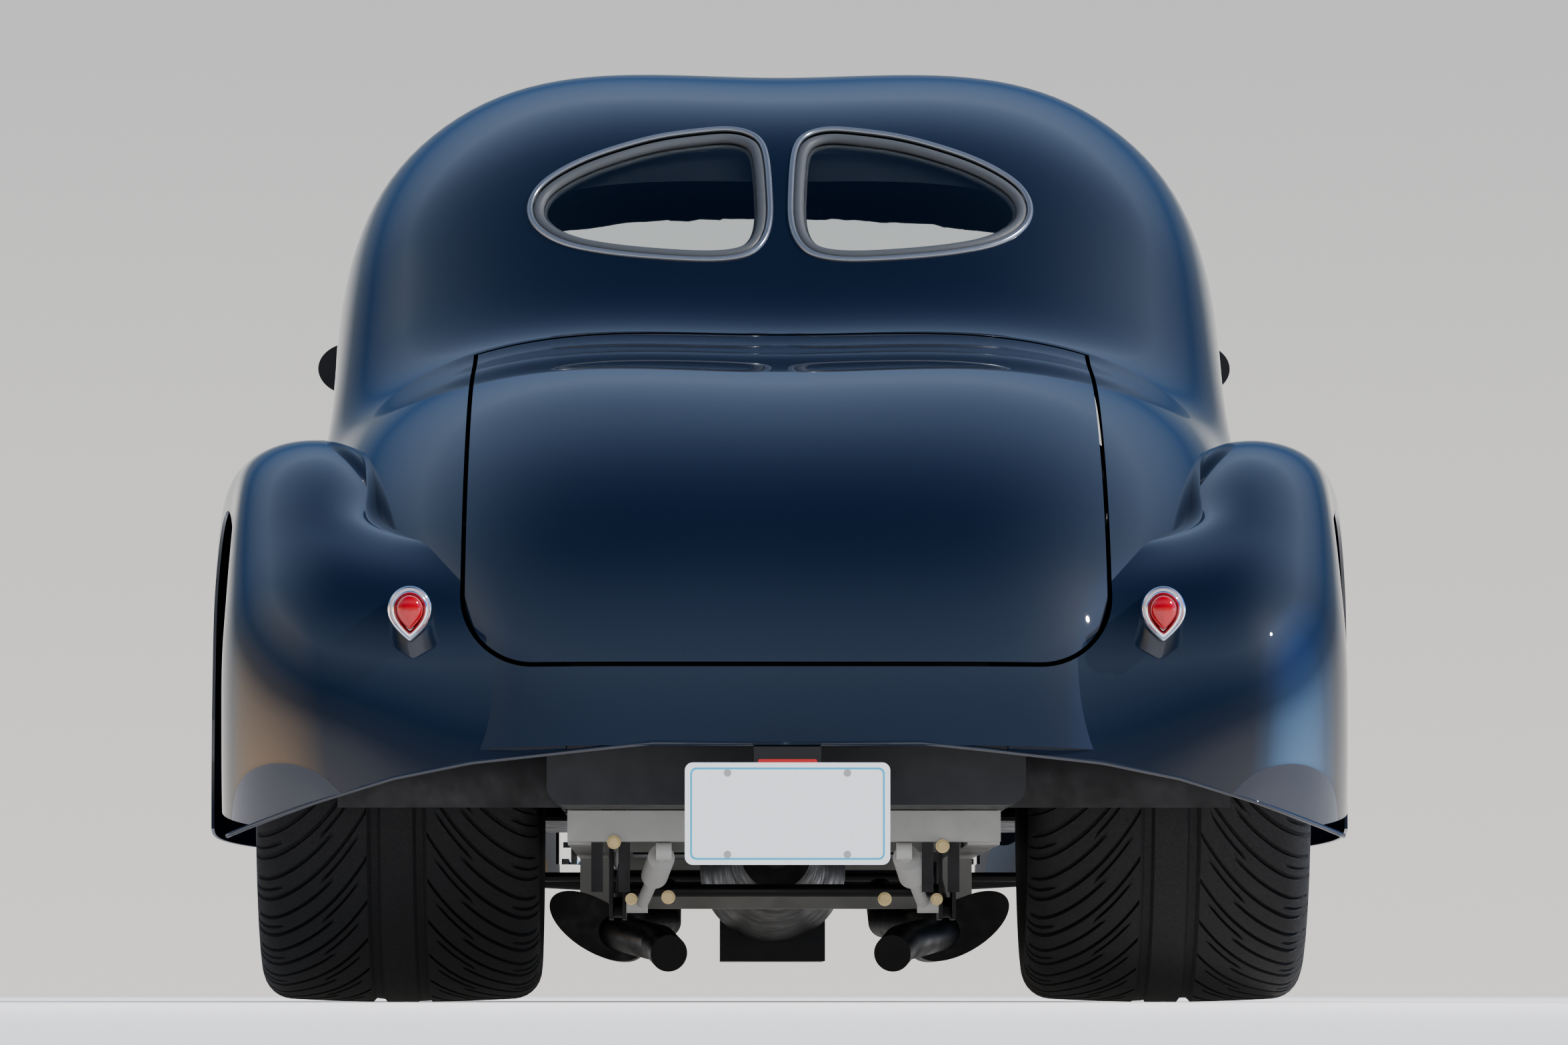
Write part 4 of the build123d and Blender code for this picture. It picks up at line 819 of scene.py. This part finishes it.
# The long groove's four steps in shares of the half tread, the sweep in pitches and the depth in mm.
WIDE_TREAD = {"long_groove": (0.10, 0.125, 0.165, 0.19), "sweep": 3.3, "depth": 6.5}
NARROW_TREAD = {"long_groove": (0.30, 0.33, 0.42, 0.45), "sweep": 1.2, "depth": 5.0}
STAGGER, WALL_SHARE, EDGE_SLACK = 0.25, 1.2, 0.01


def tread_cut(reach, local, long_groove):
    """True where a grid point lies in a groove: reach is its share of the half tread, local its pitch."""
    cut = (reach > long_groove[0] + EDGE_SLACK) & (reach < long_groove[-1] - EDGE_SLACK)
    for middle, half_width, start, end in CROSS_GROOVES:
        cut = cut | ((np.abs(local - middle) < half_width) & (reach > start) & (reach < end))
    return cut & (reach < 1.0)


def tread_tyre(name, radius, width, rim, pitches, tread):
    """A tyre turned about X with its grooves pressed into the tread, in a grid bent along them."""
    flat, bend, wall = tyre_profile(radius, width, rim)
    across = np.unique(np.concatenate([np.linspace(0, 1, 26), np.array(tread["long_groove"])]))
    line = np.concatenate([flat, bend])
    along = chord_knots(line)
    top = np.stack([np.interp(across, along, line[:, 0]), np.interp(across, along, line[:, 1])], 1)
    side = np.concatenate([top, wall])
    share = np.concatenate([across, np.full(len(wall), WALL_SHARE)])
    section = np.concatenate([side[::-1] * (-1, 1), side[1:]])
    u = np.concatenate([-share[::-1], share[1:]])
    phase = (np.arange(pitches)[:, None] + TREAD_STEPS).ravel() / pitches
    sweep = (1 - (1 - np.minimum(np.abs(u), 1)) ** 2) * tread["sweep"]
    stagger = STAGGER * np.tanh(u / 0.04)
    turn = 2 * np.pi * (phase[:, None] + (sweep + stagger)[None, :] / pitches)
    cut = tread_cut(np.abs(u)[None, :], np.tile(TREAD_STEPS, pitches)[:, None], tread["long_groove"])
    r = section[None, :, 1] - np.where(cut, tread["depth"], 0.0)
    x = section[None, :, 0] + 0 * r
    grid = np.stack([x, r * np.cos(turn), r * np.sin(turn)], 2)
    rows, columns = grid.shape[:2]
    index = np.arange(rows * columns).reshape(rows, columns)
    nxt = np.roll(index, -1, 0)
    body = np.stack([index[:, :-1], index[:, 1:], nxt[:, 1:], nxt[:, :-1]], 2).reshape(-1, 4)
    inner = np.stack([index[:, 0], nxt[:, 0], nxt[:, -1], index[:, -1]], 1)
    obj = mesh_object(name, grid.reshape(-1, 3) * MM, np.concatenate([body, inner]))
    return finish_edges(outward(obj), 40)


print("each pitch has", len(TREAD_STEPS), "steps and", len(CROSS_GROOVES), "cross grooves")

# %% [markdown]
# Each tyre is made about the origin, and its mesh is then moved to the axle. The object itself stays at
# the origin, as every CAD node does, so that a pattern on Object coordinates stays put when it is posed.

# %% Four tyres
def placed(obj, x, y, z):
    """The mesh moved to its place, with the object left at the origin."""
    obj.data.transform(Matrix.Translation((x * MM, y * MM, z * MM)))
    return obj


# Each pair: where, axle (y, z), half track, size, pitches round, kind of tread.
TYRES = [("rear", REAR_AXLE, 600, REAR_TYRE, 30, WIDE_TREAD),
         ("front", FRONT_AXLE, 660, FRONT_TYRE, 40, NARROW_TREAD)]
tyres = {}
for end, axle, half_track, tyre_size, pitches, tread in TYRES:
    for side, word in FLANKS:
        tyre = tread_tyre(f"tread_{end}_{word}", *tyre_size, pitches, tread)
        tyres[f"tyre_{end}_{word}"] = placed(tyre, side * half_track, *axle)
print("tyre faces", [len(tyre.data.polygons) for tyre in tyres.values()])

# %% [markdown]
# Rubber, bright beads and thin rolled lips edge the big panels. A bevelled curve object would give such a
# tube as well, but would need turning into a mesh. Here a ring of points is carried along the path.

# %% A tube along a path
TUBE_GUIDE = np.array([0.0, 1.0, 0.3])


def tube(name, path, radius, closed=True, sides=10):
    """A tube along points in mm: a circle square to the path at each, the first axis square to a guide."""
    path = np.asarray(path, float)
    ahead = np.roll(path, -1, 0) - np.roll(path, 1, 0) if closed else np.gradient(path, axis=0)
    ahead /= np.linalg.norm(ahead, axis=1, keepdims=True)
    first = np.cross(ahead, TUBE_GUIDE)
    first /= np.linalg.norm(first, axis=1, keepdims=True)
    second = np.cross(ahead, first)
    turn = np.linspace(0, 2 * np.pi, sides, endpoint=False)[None, :, None]
    ring = path[:, None] + radius * (first[:, None] * np.cos(turn) + second[:, None] * np.sin(turn))
    index = np.arange(len(path) * sides).reshape(-1, sides)
    nxt = np.roll(index, -1, 0) if closed else index[1:]
    base = index if closed else index[:-1]
    faces = np.stack([base, np.roll(base, -1, 1), np.roll(nxt, -1, 1), nxt], 2).reshape(-1, 4)
    caps = [] if closed else [index[0].tolist(), index[-1, ::-1].tolist()]
    mesh = bpy.data.meshes.new(name)
    mesh.from_pydata((ring.reshape(-1, 3) * MM).tolist(), [], faces.tolist() + caps)
    mesh.polygons.foreach_set("use_smooth", np.ones(len(mesh.polygons), bool))
    return outward(link(bpy.data.objects.new(name, mesh)))


fine_rear = body_grid(columns=260, rows=420)
print("the edges follow a finer skin of", fine_rear.shape[:2], "points")

# %% [markdown]
# The rubber lies on the curved skin round each pane. Its path is the pane's own outline laid onto that
# skin, and then moved along the skin's normal: inward for the rubber, and not at all for the bead.

# %% Rear window rubber and beads
WINDOW_BAND_Z, NEAREST = 1100, 14
# Each ring: how far inside the pane's outline, the lift off the skin, and the tube's radius.
WINDOW_RINGS = {"seal": (12, -7, 9.5), "inner_seal": (21, -15, 5.0), "bead": (0, 0.0, 5.2)}


def on_grid(grid, xz, lift):
    """Points over a surface seen from behind, each lifted along the surface's outward normal.

    A plane y = a dx + b dz + c is fitted through the grid points nearest to each (x, z). Its c is the
    point's y, and (a, -1, b) its normal. The closed path is then smoothed once over three points.
    """
    flat = grid.reshape(-1, 3)
    flat = flat[(flat[:, 1] < FAN_Y) & (flat[:, 2] > WINDOW_BAND_Z)]
    dx, dz = flat[:, 0] - xz[:, :1], flat[:, 2] - xz[:, 1:]
    near = np.argpartition(dx**2 + dz**2, NEAREST, axis=1)[:, :NEAREST]
    dx, dz = np.take_along_axis(dx, near, 1), np.take_along_axis(dz, near, 1)
    fit = np.linalg.pinv(np.stack([dx, dz, np.ones_like(dx)], 2)) @ flat[near, 1][..., None]
    a, b, c = fit[..., 0].T
    normal = np.stack([a, -np.ones_like(a), b], 1) / np.sqrt(1 + a**2 + b**2)[:, None]
    path = np.stack([xz[:, 0], c, xz[:, 1]], 1) + lift * normal
    return (np.roll(path, 1, 0) + 2 * path + np.roll(path, -1, 0)) / 4


trims = {}
for side, word in FLANKS:
    for kind, (inside, lift, radius) in WINDOW_RINGS.items():
        name = f"rear_window_{kind}_{word}"
        trims[name] = tube(name, on_grid(fine_rear, pane_outline(side, -inside), lift), radius)
print(len(trims), "rings round the panes")

# %% [markdown]
# The sheet's lower edge is rolled over a wire on the real car. The edge belongs to the tail in the middle
# and to the fender outside, so at each step the path takes whichever surface reaches further back.

# %% Rolled lip under the tail
LIP_END_X, TAIL_EDGE_Z, LIP_RADIUS, LIP_SINK = 846, 384, 3.6, 3.5
TAIL_Y, NEAR_MM, SMOOTH = -1400, 9.0, 7


def lower_edge(side):
    """The lower edge from the middle out: the rearmost y of the points near each (x, z), smoothed."""
    cloud = np.concatenate([fine_rear.reshape(-1, 3), rear_outer.reshape(-1, 3)])
    cloud = cloud[cloud[:, 1] < TAIL_Y]
    x = np.linspace(0, LIP_END_X, 90)
    z = np.interp(x, [0, *FENDER_TRIM[:, 0]], [TAIL_EDGE_Z, *FENDER_TRIM[:, 1]])
    gap = np.hypot(cloud[:, 0] - x[:, None], cloud[:, 2] - z[:, None])
    near = gap < np.maximum(NEAR_MM, gap.min(axis=1, keepdims=True) + 2)
    y = np.where(near, cloud[:, 1], np.inf).min(axis=1) + LIP_SINK
    y = np.convolve(np.pad(y, SMOOTH // 2, mode="edge"), np.ones(SMOOTH) / SMOOTH, mode="valid")
    return np.stack([x * side, y, z + 1.0], 1)


for side, word in FLANKS:
    trims[f"rolled_lip_{word}"] = tube(f"rolled_lip_{word}", lower_edge(side), LIP_RADIUS, closed=False)
print(len(trims), "trims in all")

# %% [markdown]
# Each tail lamp is an egg with its point down: a stepped chrome rim and a red drop standing out of it.
# One outline gives every ring of both, shrunk and moved back step by step. A lathe can't turn such a
# shape, and a scaled ball would lose its point.

# %% Tail lamps
LAMP_AT = np.array([565.0, -2068.0, 588.0])
# Each ring: half width, reach up, reach down, and how far behind the lamp's face it lies.
LAMP_RINGS = {
    "rim": [(34, 36, 48, 90), (34, 36, 48, 8), (33, 35, 47, 3), (30.5, 32.5, 44.5, 1), (28.5, 30.5, 42, 2),
            (28, 30, 41.5, 4), (26.5, 28.5, 40, 1.5), (24, 26, 37, 0.5), (21, 23, 34, 2.5), (18, 20, 31, 9)],
    "lens": [(20, 22, 30, 8), (20, 22, 30, 1), (19, 21, 28.5, -3.5), (16.5, 18.5, 25, -7.5),
             (12.5, 14.5, 19, -10.5), (7, 8, 11, -12.3), (2, 2.4, 3, -12.9)],
}


def egg(half_x, up, down, count=64):
    """A closed egg outline round (0, 0): round above, drawn to a soft point below."""
    turn = np.linspace(0, 2 * np.pi, count, endpoint=False)
    x, z = half_x * np.sin(turn), np.where(np.cos(turn) > 0, up, down) * np.cos(turn)
    x = x * np.where(z < 0, 1 - 0.62 * (np.abs(z) / down) ** 2.2, 1)
    return np.stack([x, z], 1)


def stacked(name, rings, side):
    """A closed form from rings of (half_x, up, down, y offset), each an egg, capped at both ends."""
    stack = []
    for half_x, up, down, back in rings:
        flat = egg(half_x, up, down)
        stack.append(np.stack([side * (LAMP_AT[0] + flat[:, 0]), flat[:, 0] * 0 + LAMP_AT[1] + back,
                               LAMP_AT[2] + flat[:, 1]], 1))
    verts = np.concatenate(stack)
    index = np.arange(len(verts)).reshape(len(rings), -1)
    after = np.roll(index, -1, 1)
    faces = np.stack([index[:-1], after[:-1], after[1:], index[1:]], 2).reshape(-1, 4)
    mesh = bpy.data.meshes.new(name)
    mesh.from_pydata((verts * MM).tolist(), [], faces.tolist() + [index[0].tolist(), index[-1].tolist()])
    return outward(link(bpy.data.objects.new(name, mesh)))


lamps = {"rim": [], "lens": []}
for side, word in FLANKS:
    for kind, rings in LAMP_RINGS.items():
        lamps[kind].append(stacked(f"tail_lamp_{kind}_{word}", rings, side))
print("lamp rings", {kind: len(rings) for kind, rings in LAMP_RINGS.items()})

# %% [markdown]
# The cabin is dark and mostly guessed at from outside. Its roof lining is the body's own grid once more,
# moved further in, and its front edge is a fold above the windscreen. A flat black sheet behind the glass
# would hide as much, but it would also hide the windscreen's daylight, which shows through the cab.

# %% Roof lining
LINING_WALLS, LINING_ROWS, LINING_COLUMNS = (58, 58, 48, 38), slice(30, 96), slice(24, 97)
FOLD_HALF, FOLD_Z, FOLD_SAG, FOLD_REACH, FOLD_Y = 540, 1364, 25, 379, (205, 222)
FOLD_TOP = [(500, 1440), (430, 1492), (-430, 1492), (-500, 1440)]
lining_grid = body_grid(LINING_WALLS, 121, 200)[LINING_ROWS, LINING_COLUMNS]
lining = mesh_object("roof_lining", lining_grid.reshape(-1, 3) * MM, quads(*lining_grid.shape[:2]))
across = np.linspace(-FOLD_HALF, FOLD_HALF, 31)
fold_edge = np.stack([across, FOLD_Z - FOLD_SAG * (across / FOLD_REACH) ** 2], 1)
fold = rear_cutter("lining_fold", np.concatenate([fold_edge, FOLD_TOP]), *FOLD_Y)
print("lining", len(lining.data.polygons), "faces")

# %% [markdown]
# The bench is stuffed, and its cover is drawn down along sewn channels. Cloth simulation would swell such
# a pad, but the seat shows only as a dark edge through the rear glass, so a formula gives the crowned
# form at once: a box with rounded sides, fuller in the middle, with a shallow valley at every channel. A
# dark board behind it closes the cabin, so that no daylight comes up through the boot.

# %% Seat and the board behind it
PAD_ROUND_SIDE, PAD_ROUND_CORNER, PAD_ROUND_TOP = 0.28, 0.24, 0.6
CHANNELS, CUSHION_DEPTH, CUSHION_AHEAD, BACK_DEPTH, BACK_UP = 14, 0.17, 0.10, 0.15, 0.03
BOARD_X, BOARD_Z, BOARD_BEHIND = (-0.52, 0.52), (0.62, 1.14), (0.035, 0.02)
BOARD_FACES = [(0, 1, 3, 2), (4, 6, 7, 5), (0, 4, 5, 1), (2, 3, 7, 6), (0, 2, 6, 4), (1, 5, 7, 3)]


def power(wave, exponent):
    """A sine or cosine bent towards a square wave, its sign kept."""
    return np.sign(wave) * np.abs(wave) ** exponent


def cushion(name, low, high, crown, upright=False):
    """A stuffed pad between two corners: a rounded box, full in the middle, with sewn channels."""
    low, high = np.array(low), np.array(high)
    u, v = np.meshgrid(np.linspace(-np.pi, np.pi, 161), np.linspace(-np.pi / 2, np.pi / 2, 61), indexing="ij")
    round_side = power(np.cos(v), PAD_ROUND_SIDE)
    form = np.stack([round_side * power(np.cos(u), PAD_ROUND_CORNER),
                     round_side * power(np.sin(u), PAD_ROUND_CORNER), power(np.sin(v), PAD_ROUND_TOP)], 2)
    swell = (1 - np.abs(form[..., 0]) ** 3) * (1 - np.abs(form[..., 1]) ** 3)
    form[..., 2] *= 1 - crown + crown * swell
    seam = np.abs(np.sin(form[..., 0] * np.pi * CHANNELS / 2))
    form[..., 2] *= 0.93 + 0.07 * np.minimum(1, seam * 2.4)
    if upright:
        form = form[..., [0, 2, 1]]
    points = (low + high) / 2 + form * (high - low) / 2
    rows, columns = points.shape[:2]
    return outward(mesh_object(name, points.reshape(-1, 3), quads(rows, columns)))


seat_low, seat_high = (np.array(corner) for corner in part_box("bench_seat"))
seat_pad = cushion("seat_cushion", (seat_low[0], seat_low[1] + CUSHION_AHEAD, seat_low[2]),
                   (seat_high[0], seat_high[1], seat_low[2] + CUSHION_DEPTH), crown=0.22)
back_pad = cushion("seat_back", (seat_low[0], seat_low[1], seat_low[2] + BACK_UP),
                   (seat_high[0], seat_low[1] + BACK_DEPTH, seat_high[2]), crown=0.25, upright=True)
board_y = [seat_low[1] - behind for behind in BOARD_BEHIND]
board_corners = [(x, y, z) for x in BOARD_X for y in board_y for z in BOARD_Z]
bulkhead = mesh_object("seat_bulkhead", board_corners, BOARD_FACES, smooth=False)
print("seat pads", len(seat_pad.data.polygons), len(back_pad.data.polygons), "faces, board at y",
      np.round(board_y, 3))

# %% [markdown]
# The plate is bare. Its border line stands a hair proud, and a narrow red lamp sits on its top edge. The
# border could be painted by a material, but a thin ring of its own keeps its edge crisp close up.

# %% Plate border and lamp
PLATE_MID_Z = 280
BORDER_OUTER, BORDER_INNER, BORDER_Y = (144.5, 68.5, 9), (141.7, 65.7, 7), (-0.15, 0.6)
STRIP_HALF_X, STRIP_HALF_Z, STRIP_Z, STRIP_Y = 44, 4.5, 356.5, (1.5, 12)
plate_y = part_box("number_plate")[0][1] / MM


def rounded_box(half_x, half_z, middle_z, radius):
    """A rectangle with round corners about x = 0, from behind."""
    corners = [(-half_x, middle_z - half_z), (half_x, middle_z - half_z),
               (half_x, middle_z + half_z), (-half_x, middle_z + half_z)]
    return rounded_outline(corners, [radius] * 4, 8)


def band(first, second):
    """Faces between two closed rows of point numbers."""
    return np.stack([first, np.roll(first, -1), np.roll(second, -1), second], 1)


outer, inner = (rounded_box(half_x, half_z, PLATE_MID_Z, radius)
                for half_x, half_z, radius in (BORDER_OUTER, BORDER_INNER))
ring = np.concatenate([np.insert(line, 1, plate_y + y, 1) for y in BORDER_Y for line in (outer, inner)])
near_out, near_in, far_out, far_in = np.arange(len(ring)).reshape(4, -1)
pairs = ((near_out, near_in), (far_out, far_in), (near_out, far_out), (near_in, far_in))
ring_faces = np.concatenate([band(*pair) for pair in pairs])
plate_line = outward(mesh_object("plate_line", ring * MM, ring_faces, smooth=False))
strip = rounded_box(STRIP_HALF_X, STRIP_HALF_Z, STRIP_Z, 3)
plate_lamp = rear_cutter("plate_lamp", strip, *(plate_y + y for y in STRIP_Y))
print("border", len(ring_faces), "faces")

# %% [markdown]
# Gold bolt heads and four dark straps hold what hangs under the tail, and four small screws the plate.
# Each bolt's head is a hexagon joined to its washer, and one function makes them all. They could be drawn
# as bump, but from a low camera their sides show.

# %% Bolts, straps and screws
# Each bolt: x, y, z and the head's radius.
BOLTS = [(-178.9, -1608, 162, 8), (155.6, -1608, 159, 8), (236, -1608, 159, 7),
         (-236, -1608, 159, 7), (-263, -1612, 247, 8), (245, -1612, 241, 8)]
BOLT_DEPTH, BOLT_TURN, WASHER_SHARE, WASHER_Y = 9.0, 0.3, 1.35, (-0.5, 2)
STRAP_X, STRAP_HALF, STRAP_Y, STRAP_Z = (-289, -247, 222, 262), 9, (-1606, -1600), (170, 247)
SCREW_X, SCREW_Z, SCREW_RADIUS, SCREW_Y = 89, 60.5, 5.5, (-0.3, 3)


def bolt(name, x, y, z, size):
    """A hexagon head with a washer, its axis along the car."""
    head = rear_cutter(name, circle(x, z, size, 6, BOLT_TURN), y - BOLT_DEPTH, y)
    washer = circle(x, z, size * WASHER_SHARE, 24)
    return carve(head, rear_cutter(name + "_washer", washer, y + WASHER_Y[0], y + WASHER_Y[1]), "UNION")


bolts = [bolt(f"bolt_{k}", *place) for k, place in enumerate(BOLTS)]
straps = [block(f"strap_{k}", x - STRAP_HALF, x + STRAP_HALF, *STRAP_Y, *STRAP_Z)
          for k, x in enumerate(STRAP_X)]
screw_at = [(x, PLATE_MID_Z + z) for x in (-SCREW_X, SCREW_X) for z in (-SCREW_Z, SCREW_Z)]
screws = [rear_cutter(f"plate_screw_{k}", circle(x, z, SCREW_RADIUS, 24), *(plate_y + y for y in SCREW_Y))
          for k, (x, z) in enumerate(screw_at)]
print(len(bolts), "bolts,", len(straps), "straps,", len(screws), "screws")

# %% [markdown]
# The lacquer is almost black with a blue depth: a dull, very dark base under a hard clear coat, whose
# high index gives the mirror that dark paint has. A metallic base would be brighter face on than this
# paint is. A fine bump on the base stands for its grain.

# %% Paint
def ramp(material, value, *stops):
    """A colour ramp through (position, colour) stops."""
    node = add(material, "ShaderNodeValToRGB")
    set_stops(node, stops)
    wire(material, value, node.inputs["Fac"])
    return node.outputs["Color"]


PAINT_FACING, PAINT_GRAZING = (0.0040, 0.0080, 0.0195), (0.0035, 0.007, 0.017)
paint, paint_bsdf = shader("paint", Metallic=0.0, Specular_IOR_Level=0.1, Roughness=0.5, Coat_Weight=1.0,
                          Coat_Roughness=0.012, Coat_IOR=1.75)
facing = add(paint, "ShaderNodeLayerWeight", in_Blend=0.35)
depth_tone = ramp(paint, facing.outputs["Facing"], (0.0, PAINT_FACING), (0.75, PAINT_GRAZING))
wire(paint, depth_tone, paint_bsdf.inputs["Base Color"])
flake = object_noise(paint, 900, 2, 0.5)
sparkle = add(paint, "ShaderNodeBump", in_Strength=0.06, in_Distance=0.0002)
wire(paint, flake, sparkle.inputs["Height"])
wire(paint, sparkle.outputs["Normal"], paint_bsdf.inputs["Normal"])
print("paint", len(paint.node_tree.nodes), "nodes")

# %% [markdown]
# Tyre rubber is matt and never quite clean: a second, coarser noise turns a few patches to pale dust.

# %% Rubber
rubber, rubber_bsdf = shader("rubber", Base_Color=(0.012, 0.012, 0.013, 1), Roughness=0.75)
grain = object_noise(rubber, 240, 8, 0.7)
rough_and_bump(rubber, rubber_bsdf, grain, 0.62, 0.85, 0.3, 0.0008)
DUST_STOPS = [(0.0, (0.010, 0.010, 0.011)), (0.62, (0.014, 0.014, 0.015)),
              (0.80, (0.045, 0.043, 0.040)), (1.0, (0.09, 0.085, 0.08))]
dust = ramp(rubber, object_noise(rubber, 46, 10, 0.75), *DUST_STOPS)
wire(rubber, dust, rubber_bsdf.inputs["Base Color"])
print("rubber", len(rubber.node_tree.nodes), "nodes")

# %% [markdown]
# Plated metal, plain metal, leather and plastic share one recipe. Their colour and shine differ, and each
# has its own unevenness, coarse on castings and fine on leather and cloth. Glass needs only its own
# sockets.

# %% Other finishes
def clear_glass(name, tint, rough=0.0):
    """A shader that lets all light through, tinted."""
    material, bsdf = shader(name, Base_Color=(*tint, 1), Roughness=rough, IOR=1.45)
    bsdf.inputs["Transmission Weight"].default_value = 1.0
    return material


def finish(name, colour, rough, metal=0.0, spread=0.08, bump=0.0, scale=60.0, coat=0.0):
    """A plain finish whose roughness wanders by spread and which has a fine bump."""
    material, bsdf = shader(name, Base_Color=(*colour, 1), Metallic=metal, Roughness=rough)
    if coat:
        bsdf.inputs["Coat Weight"].default_value = coat
        bsdf.inputs["Coat Roughness"].default_value = 0.02
    value = object_noise(material, scale, 5)
    rough_and_bump(material, bsdf, value, max(rough - spread, 0.02), rough + spread, bump, 0.0006)
    return material


finishes = {
    "paint": paint,
    "rubber": rubber,
    "seal": finish("seal", (0.09, 0.095, 0.10), 0.55, spread=0.1, bump=0.15),
    "bead": finish("bead", (0.30, 0.31, 0.33), 0.22, 0.7, spread=0.06),
    "chrome": finish("chrome", (0.82, 0.84, 0.86), 0.07, 1.0, spread=0.03),
    "alloy": finish("alloy", (0.62, 0.63, 0.65), 0.22, 1.0, spread=0.08, scale=30),
    "silver": finish("silver", (0.42, 0.42, 0.40), 0.45, 0.5, spread=0.12, bump=0.15, scale=40),
    "grey": finish("grey", (0.60, 0.60, 0.58), 0.5, spread=0.1, bump=0.1, scale=40),
    "zinc": finish("zinc", (0.55, 0.45, 0.26), 0.35, 0.9, spread=0.1),
    "black": finish("black", (0.012, 0.012, 0.013), 0.42, spread=0.15, bump=0.15, scale=25),
    "satin": finish("satin", (0.028, 0.029, 0.032), 0.5, spread=0.12, bump=0.12, scale=30),
    "lining": finish("lining", (0.016, 0.018, 0.024), 0.9, spread=0.05, bump=0.3, scale=400),
    "hide": finish("hide", (0.05, 0.045, 0.042), 0.5, spread=0.12, bump=0.35, scale=220),
    "white": finish("white", (0.80, 0.81, 0.82), 0.3, spread=0.06, coat=0.3),
    "line": finish("line", (0.06, 0.42, 0.62), 0.35, spread=0.05),
    "red": finish("red", (0.42, 0.004, 0.006), 0.12, spread=0.03, coat=1.0),
    "glass": clear_glass("glass", (0.90, 0.93, 0.92)),
    "lens": clear_glass("lens", (0.97, 0.97, 0.97), 0.02),
}
print(len(finishes), "finishes")

# %% [markdown]
# Each piece rides on the body that carries it, takes its finish, and hides the imported node it stands for. A
# piece that replaces nothing is trim, and lies on what does. Panels turn sharp only where their faces meet at
# more than 32 degrees, which is at a cut and never on the curve.

# %% Dress the new pieces
PANEL_EDGE, RIM_EDGE, LENS_EDGE, SMALL_EDGE = 32, 50, 60, 30


def dress(obj, key, body="body", nodes_out=(), crisp=None):
    """Finish, ride and slot for one piece of the scene."""
    obj.data.materials.clear()
    obj.data.materials.append(finishes[key])
    if crisp:
        finish_edges(obj, crisp)
    if nodes_out:
        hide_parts(*nodes_out)
    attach(obj, body)


dress(skin, "paint", "body", ["body_shell"], PANEL_EDGE)
dress(cowl, "paint", "body", crisp=PANEL_EDGE)
dress(lid, "paint", "deck_lid", ["deck_lid"], PANEL_EDGE)
dress(hood, "paint", "hood", ["hood"], PANEL_EDGE)
for word, door in doors.items():
    dress(door, "paint", f"door_{word}", [f"door_{word}"], PANEL_EDGE)
for node, pair in fenders.items():
    for piece in pair:
        dress(piece, "paint", "body", [node], PANEL_EDGE)
for node, piece in tyres.items():
    dress(piece, "rubber", node.replace("tyre", "wheel"), [node])
for name, piece in trims.items():
    if "lip" in name:
        dress(piece, "paint", "body")
    elif "bead" in name:
        dress(piece, "bead", "body")
    else:
        dress(piece, "seal", "body")
for piece in lamps["rim"]:
    dress(piece, "chrome", "body", ["tail_lamp_bezels"], RIM_EDGE)
for piece in lamps["lens"]:
    dress(piece, "red", "body", ["tail_lamp_lenses"], LENS_EDGE)
for piece in (lining, bulkhead, fold):
    dress(piece, "lining")
for piece in (seat_pad, back_pad):
    dress(piece, "hide", "body", ["bench_seat"])
dress(plate_line, "line")
dress(plate_lamp, "red", "body")
for group, key in ((bolts, "zinc"), (straps, "black"), (screws, "silver")):
    for piece in group:
        dress(piece, key, crisp=SMALL_EDGE)

# %% [markdown]
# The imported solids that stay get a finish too: chassis, axles, glass, wheels, nose and the rest. Their
# meshes aren't touched. The plate's node holds its bracket as well, so the faces behind the plate and
# above it take a second material, which is black.

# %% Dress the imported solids
NODE_FINISH = {
    "glass": ["rear_glass", "windscreen", "door_glass_left", "door_glass_right"],
    "chrome": ["grille", "head_lamp_rings"],
    "lens": ["head_lamp_lenses"],
    "white": ["number_plate"],
    "paint": ["running_boards", "nose_shell"],
    "silver": ["chassis"],
    "grey": ["rear_dampers"],
    "satin": ["fuel_tank", "engine_block", "dash"],
    "black": ["mirror_left", "mirror_right", "floor_pan", "rear_axle", "rear_links", "exhaust", "gearbox",
              "front_suspension", "knuckle_left", "knuckle_right", "tie_rod", "steering_wheel"],
    "alloy": [node for node in nodes if node.startswith("wheel_")],
}
BRACKET_Z, BRACKET_BEHIND = 0.3565, 0.004
for key, names in NODE_FINISH.items():
    for node in names:
        nodes[node].data.materials.clear()
        nodes[node].data.materials.append(finishes[key])
plate = nodes["number_plate"].data
plate.materials.append(finishes["black"])
centres = np.empty(len(plate.polygons) * 3)
plate.polygons.foreach_get("center", centres)
centres = centres.reshape(-1, 3)
bracket = (centres[:, 2] > BRACKET_Z) | (centres[:, 1] > plate_y * MM + BRACKET_BEHIND)
plate.polygons.foreach_set("material_index", bracket.astype(int))
print("packed solids dressed:", sum(len(names) for names in NODE_FINISH.values()))

# %% [markdown]
# The box of the imported model and the box of the dressed scene, floor left out, are printed side by side.

# %% Sizes and the end
size = {"cad": cad_box, "visual": [list(corner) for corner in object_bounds()]}
print(size)
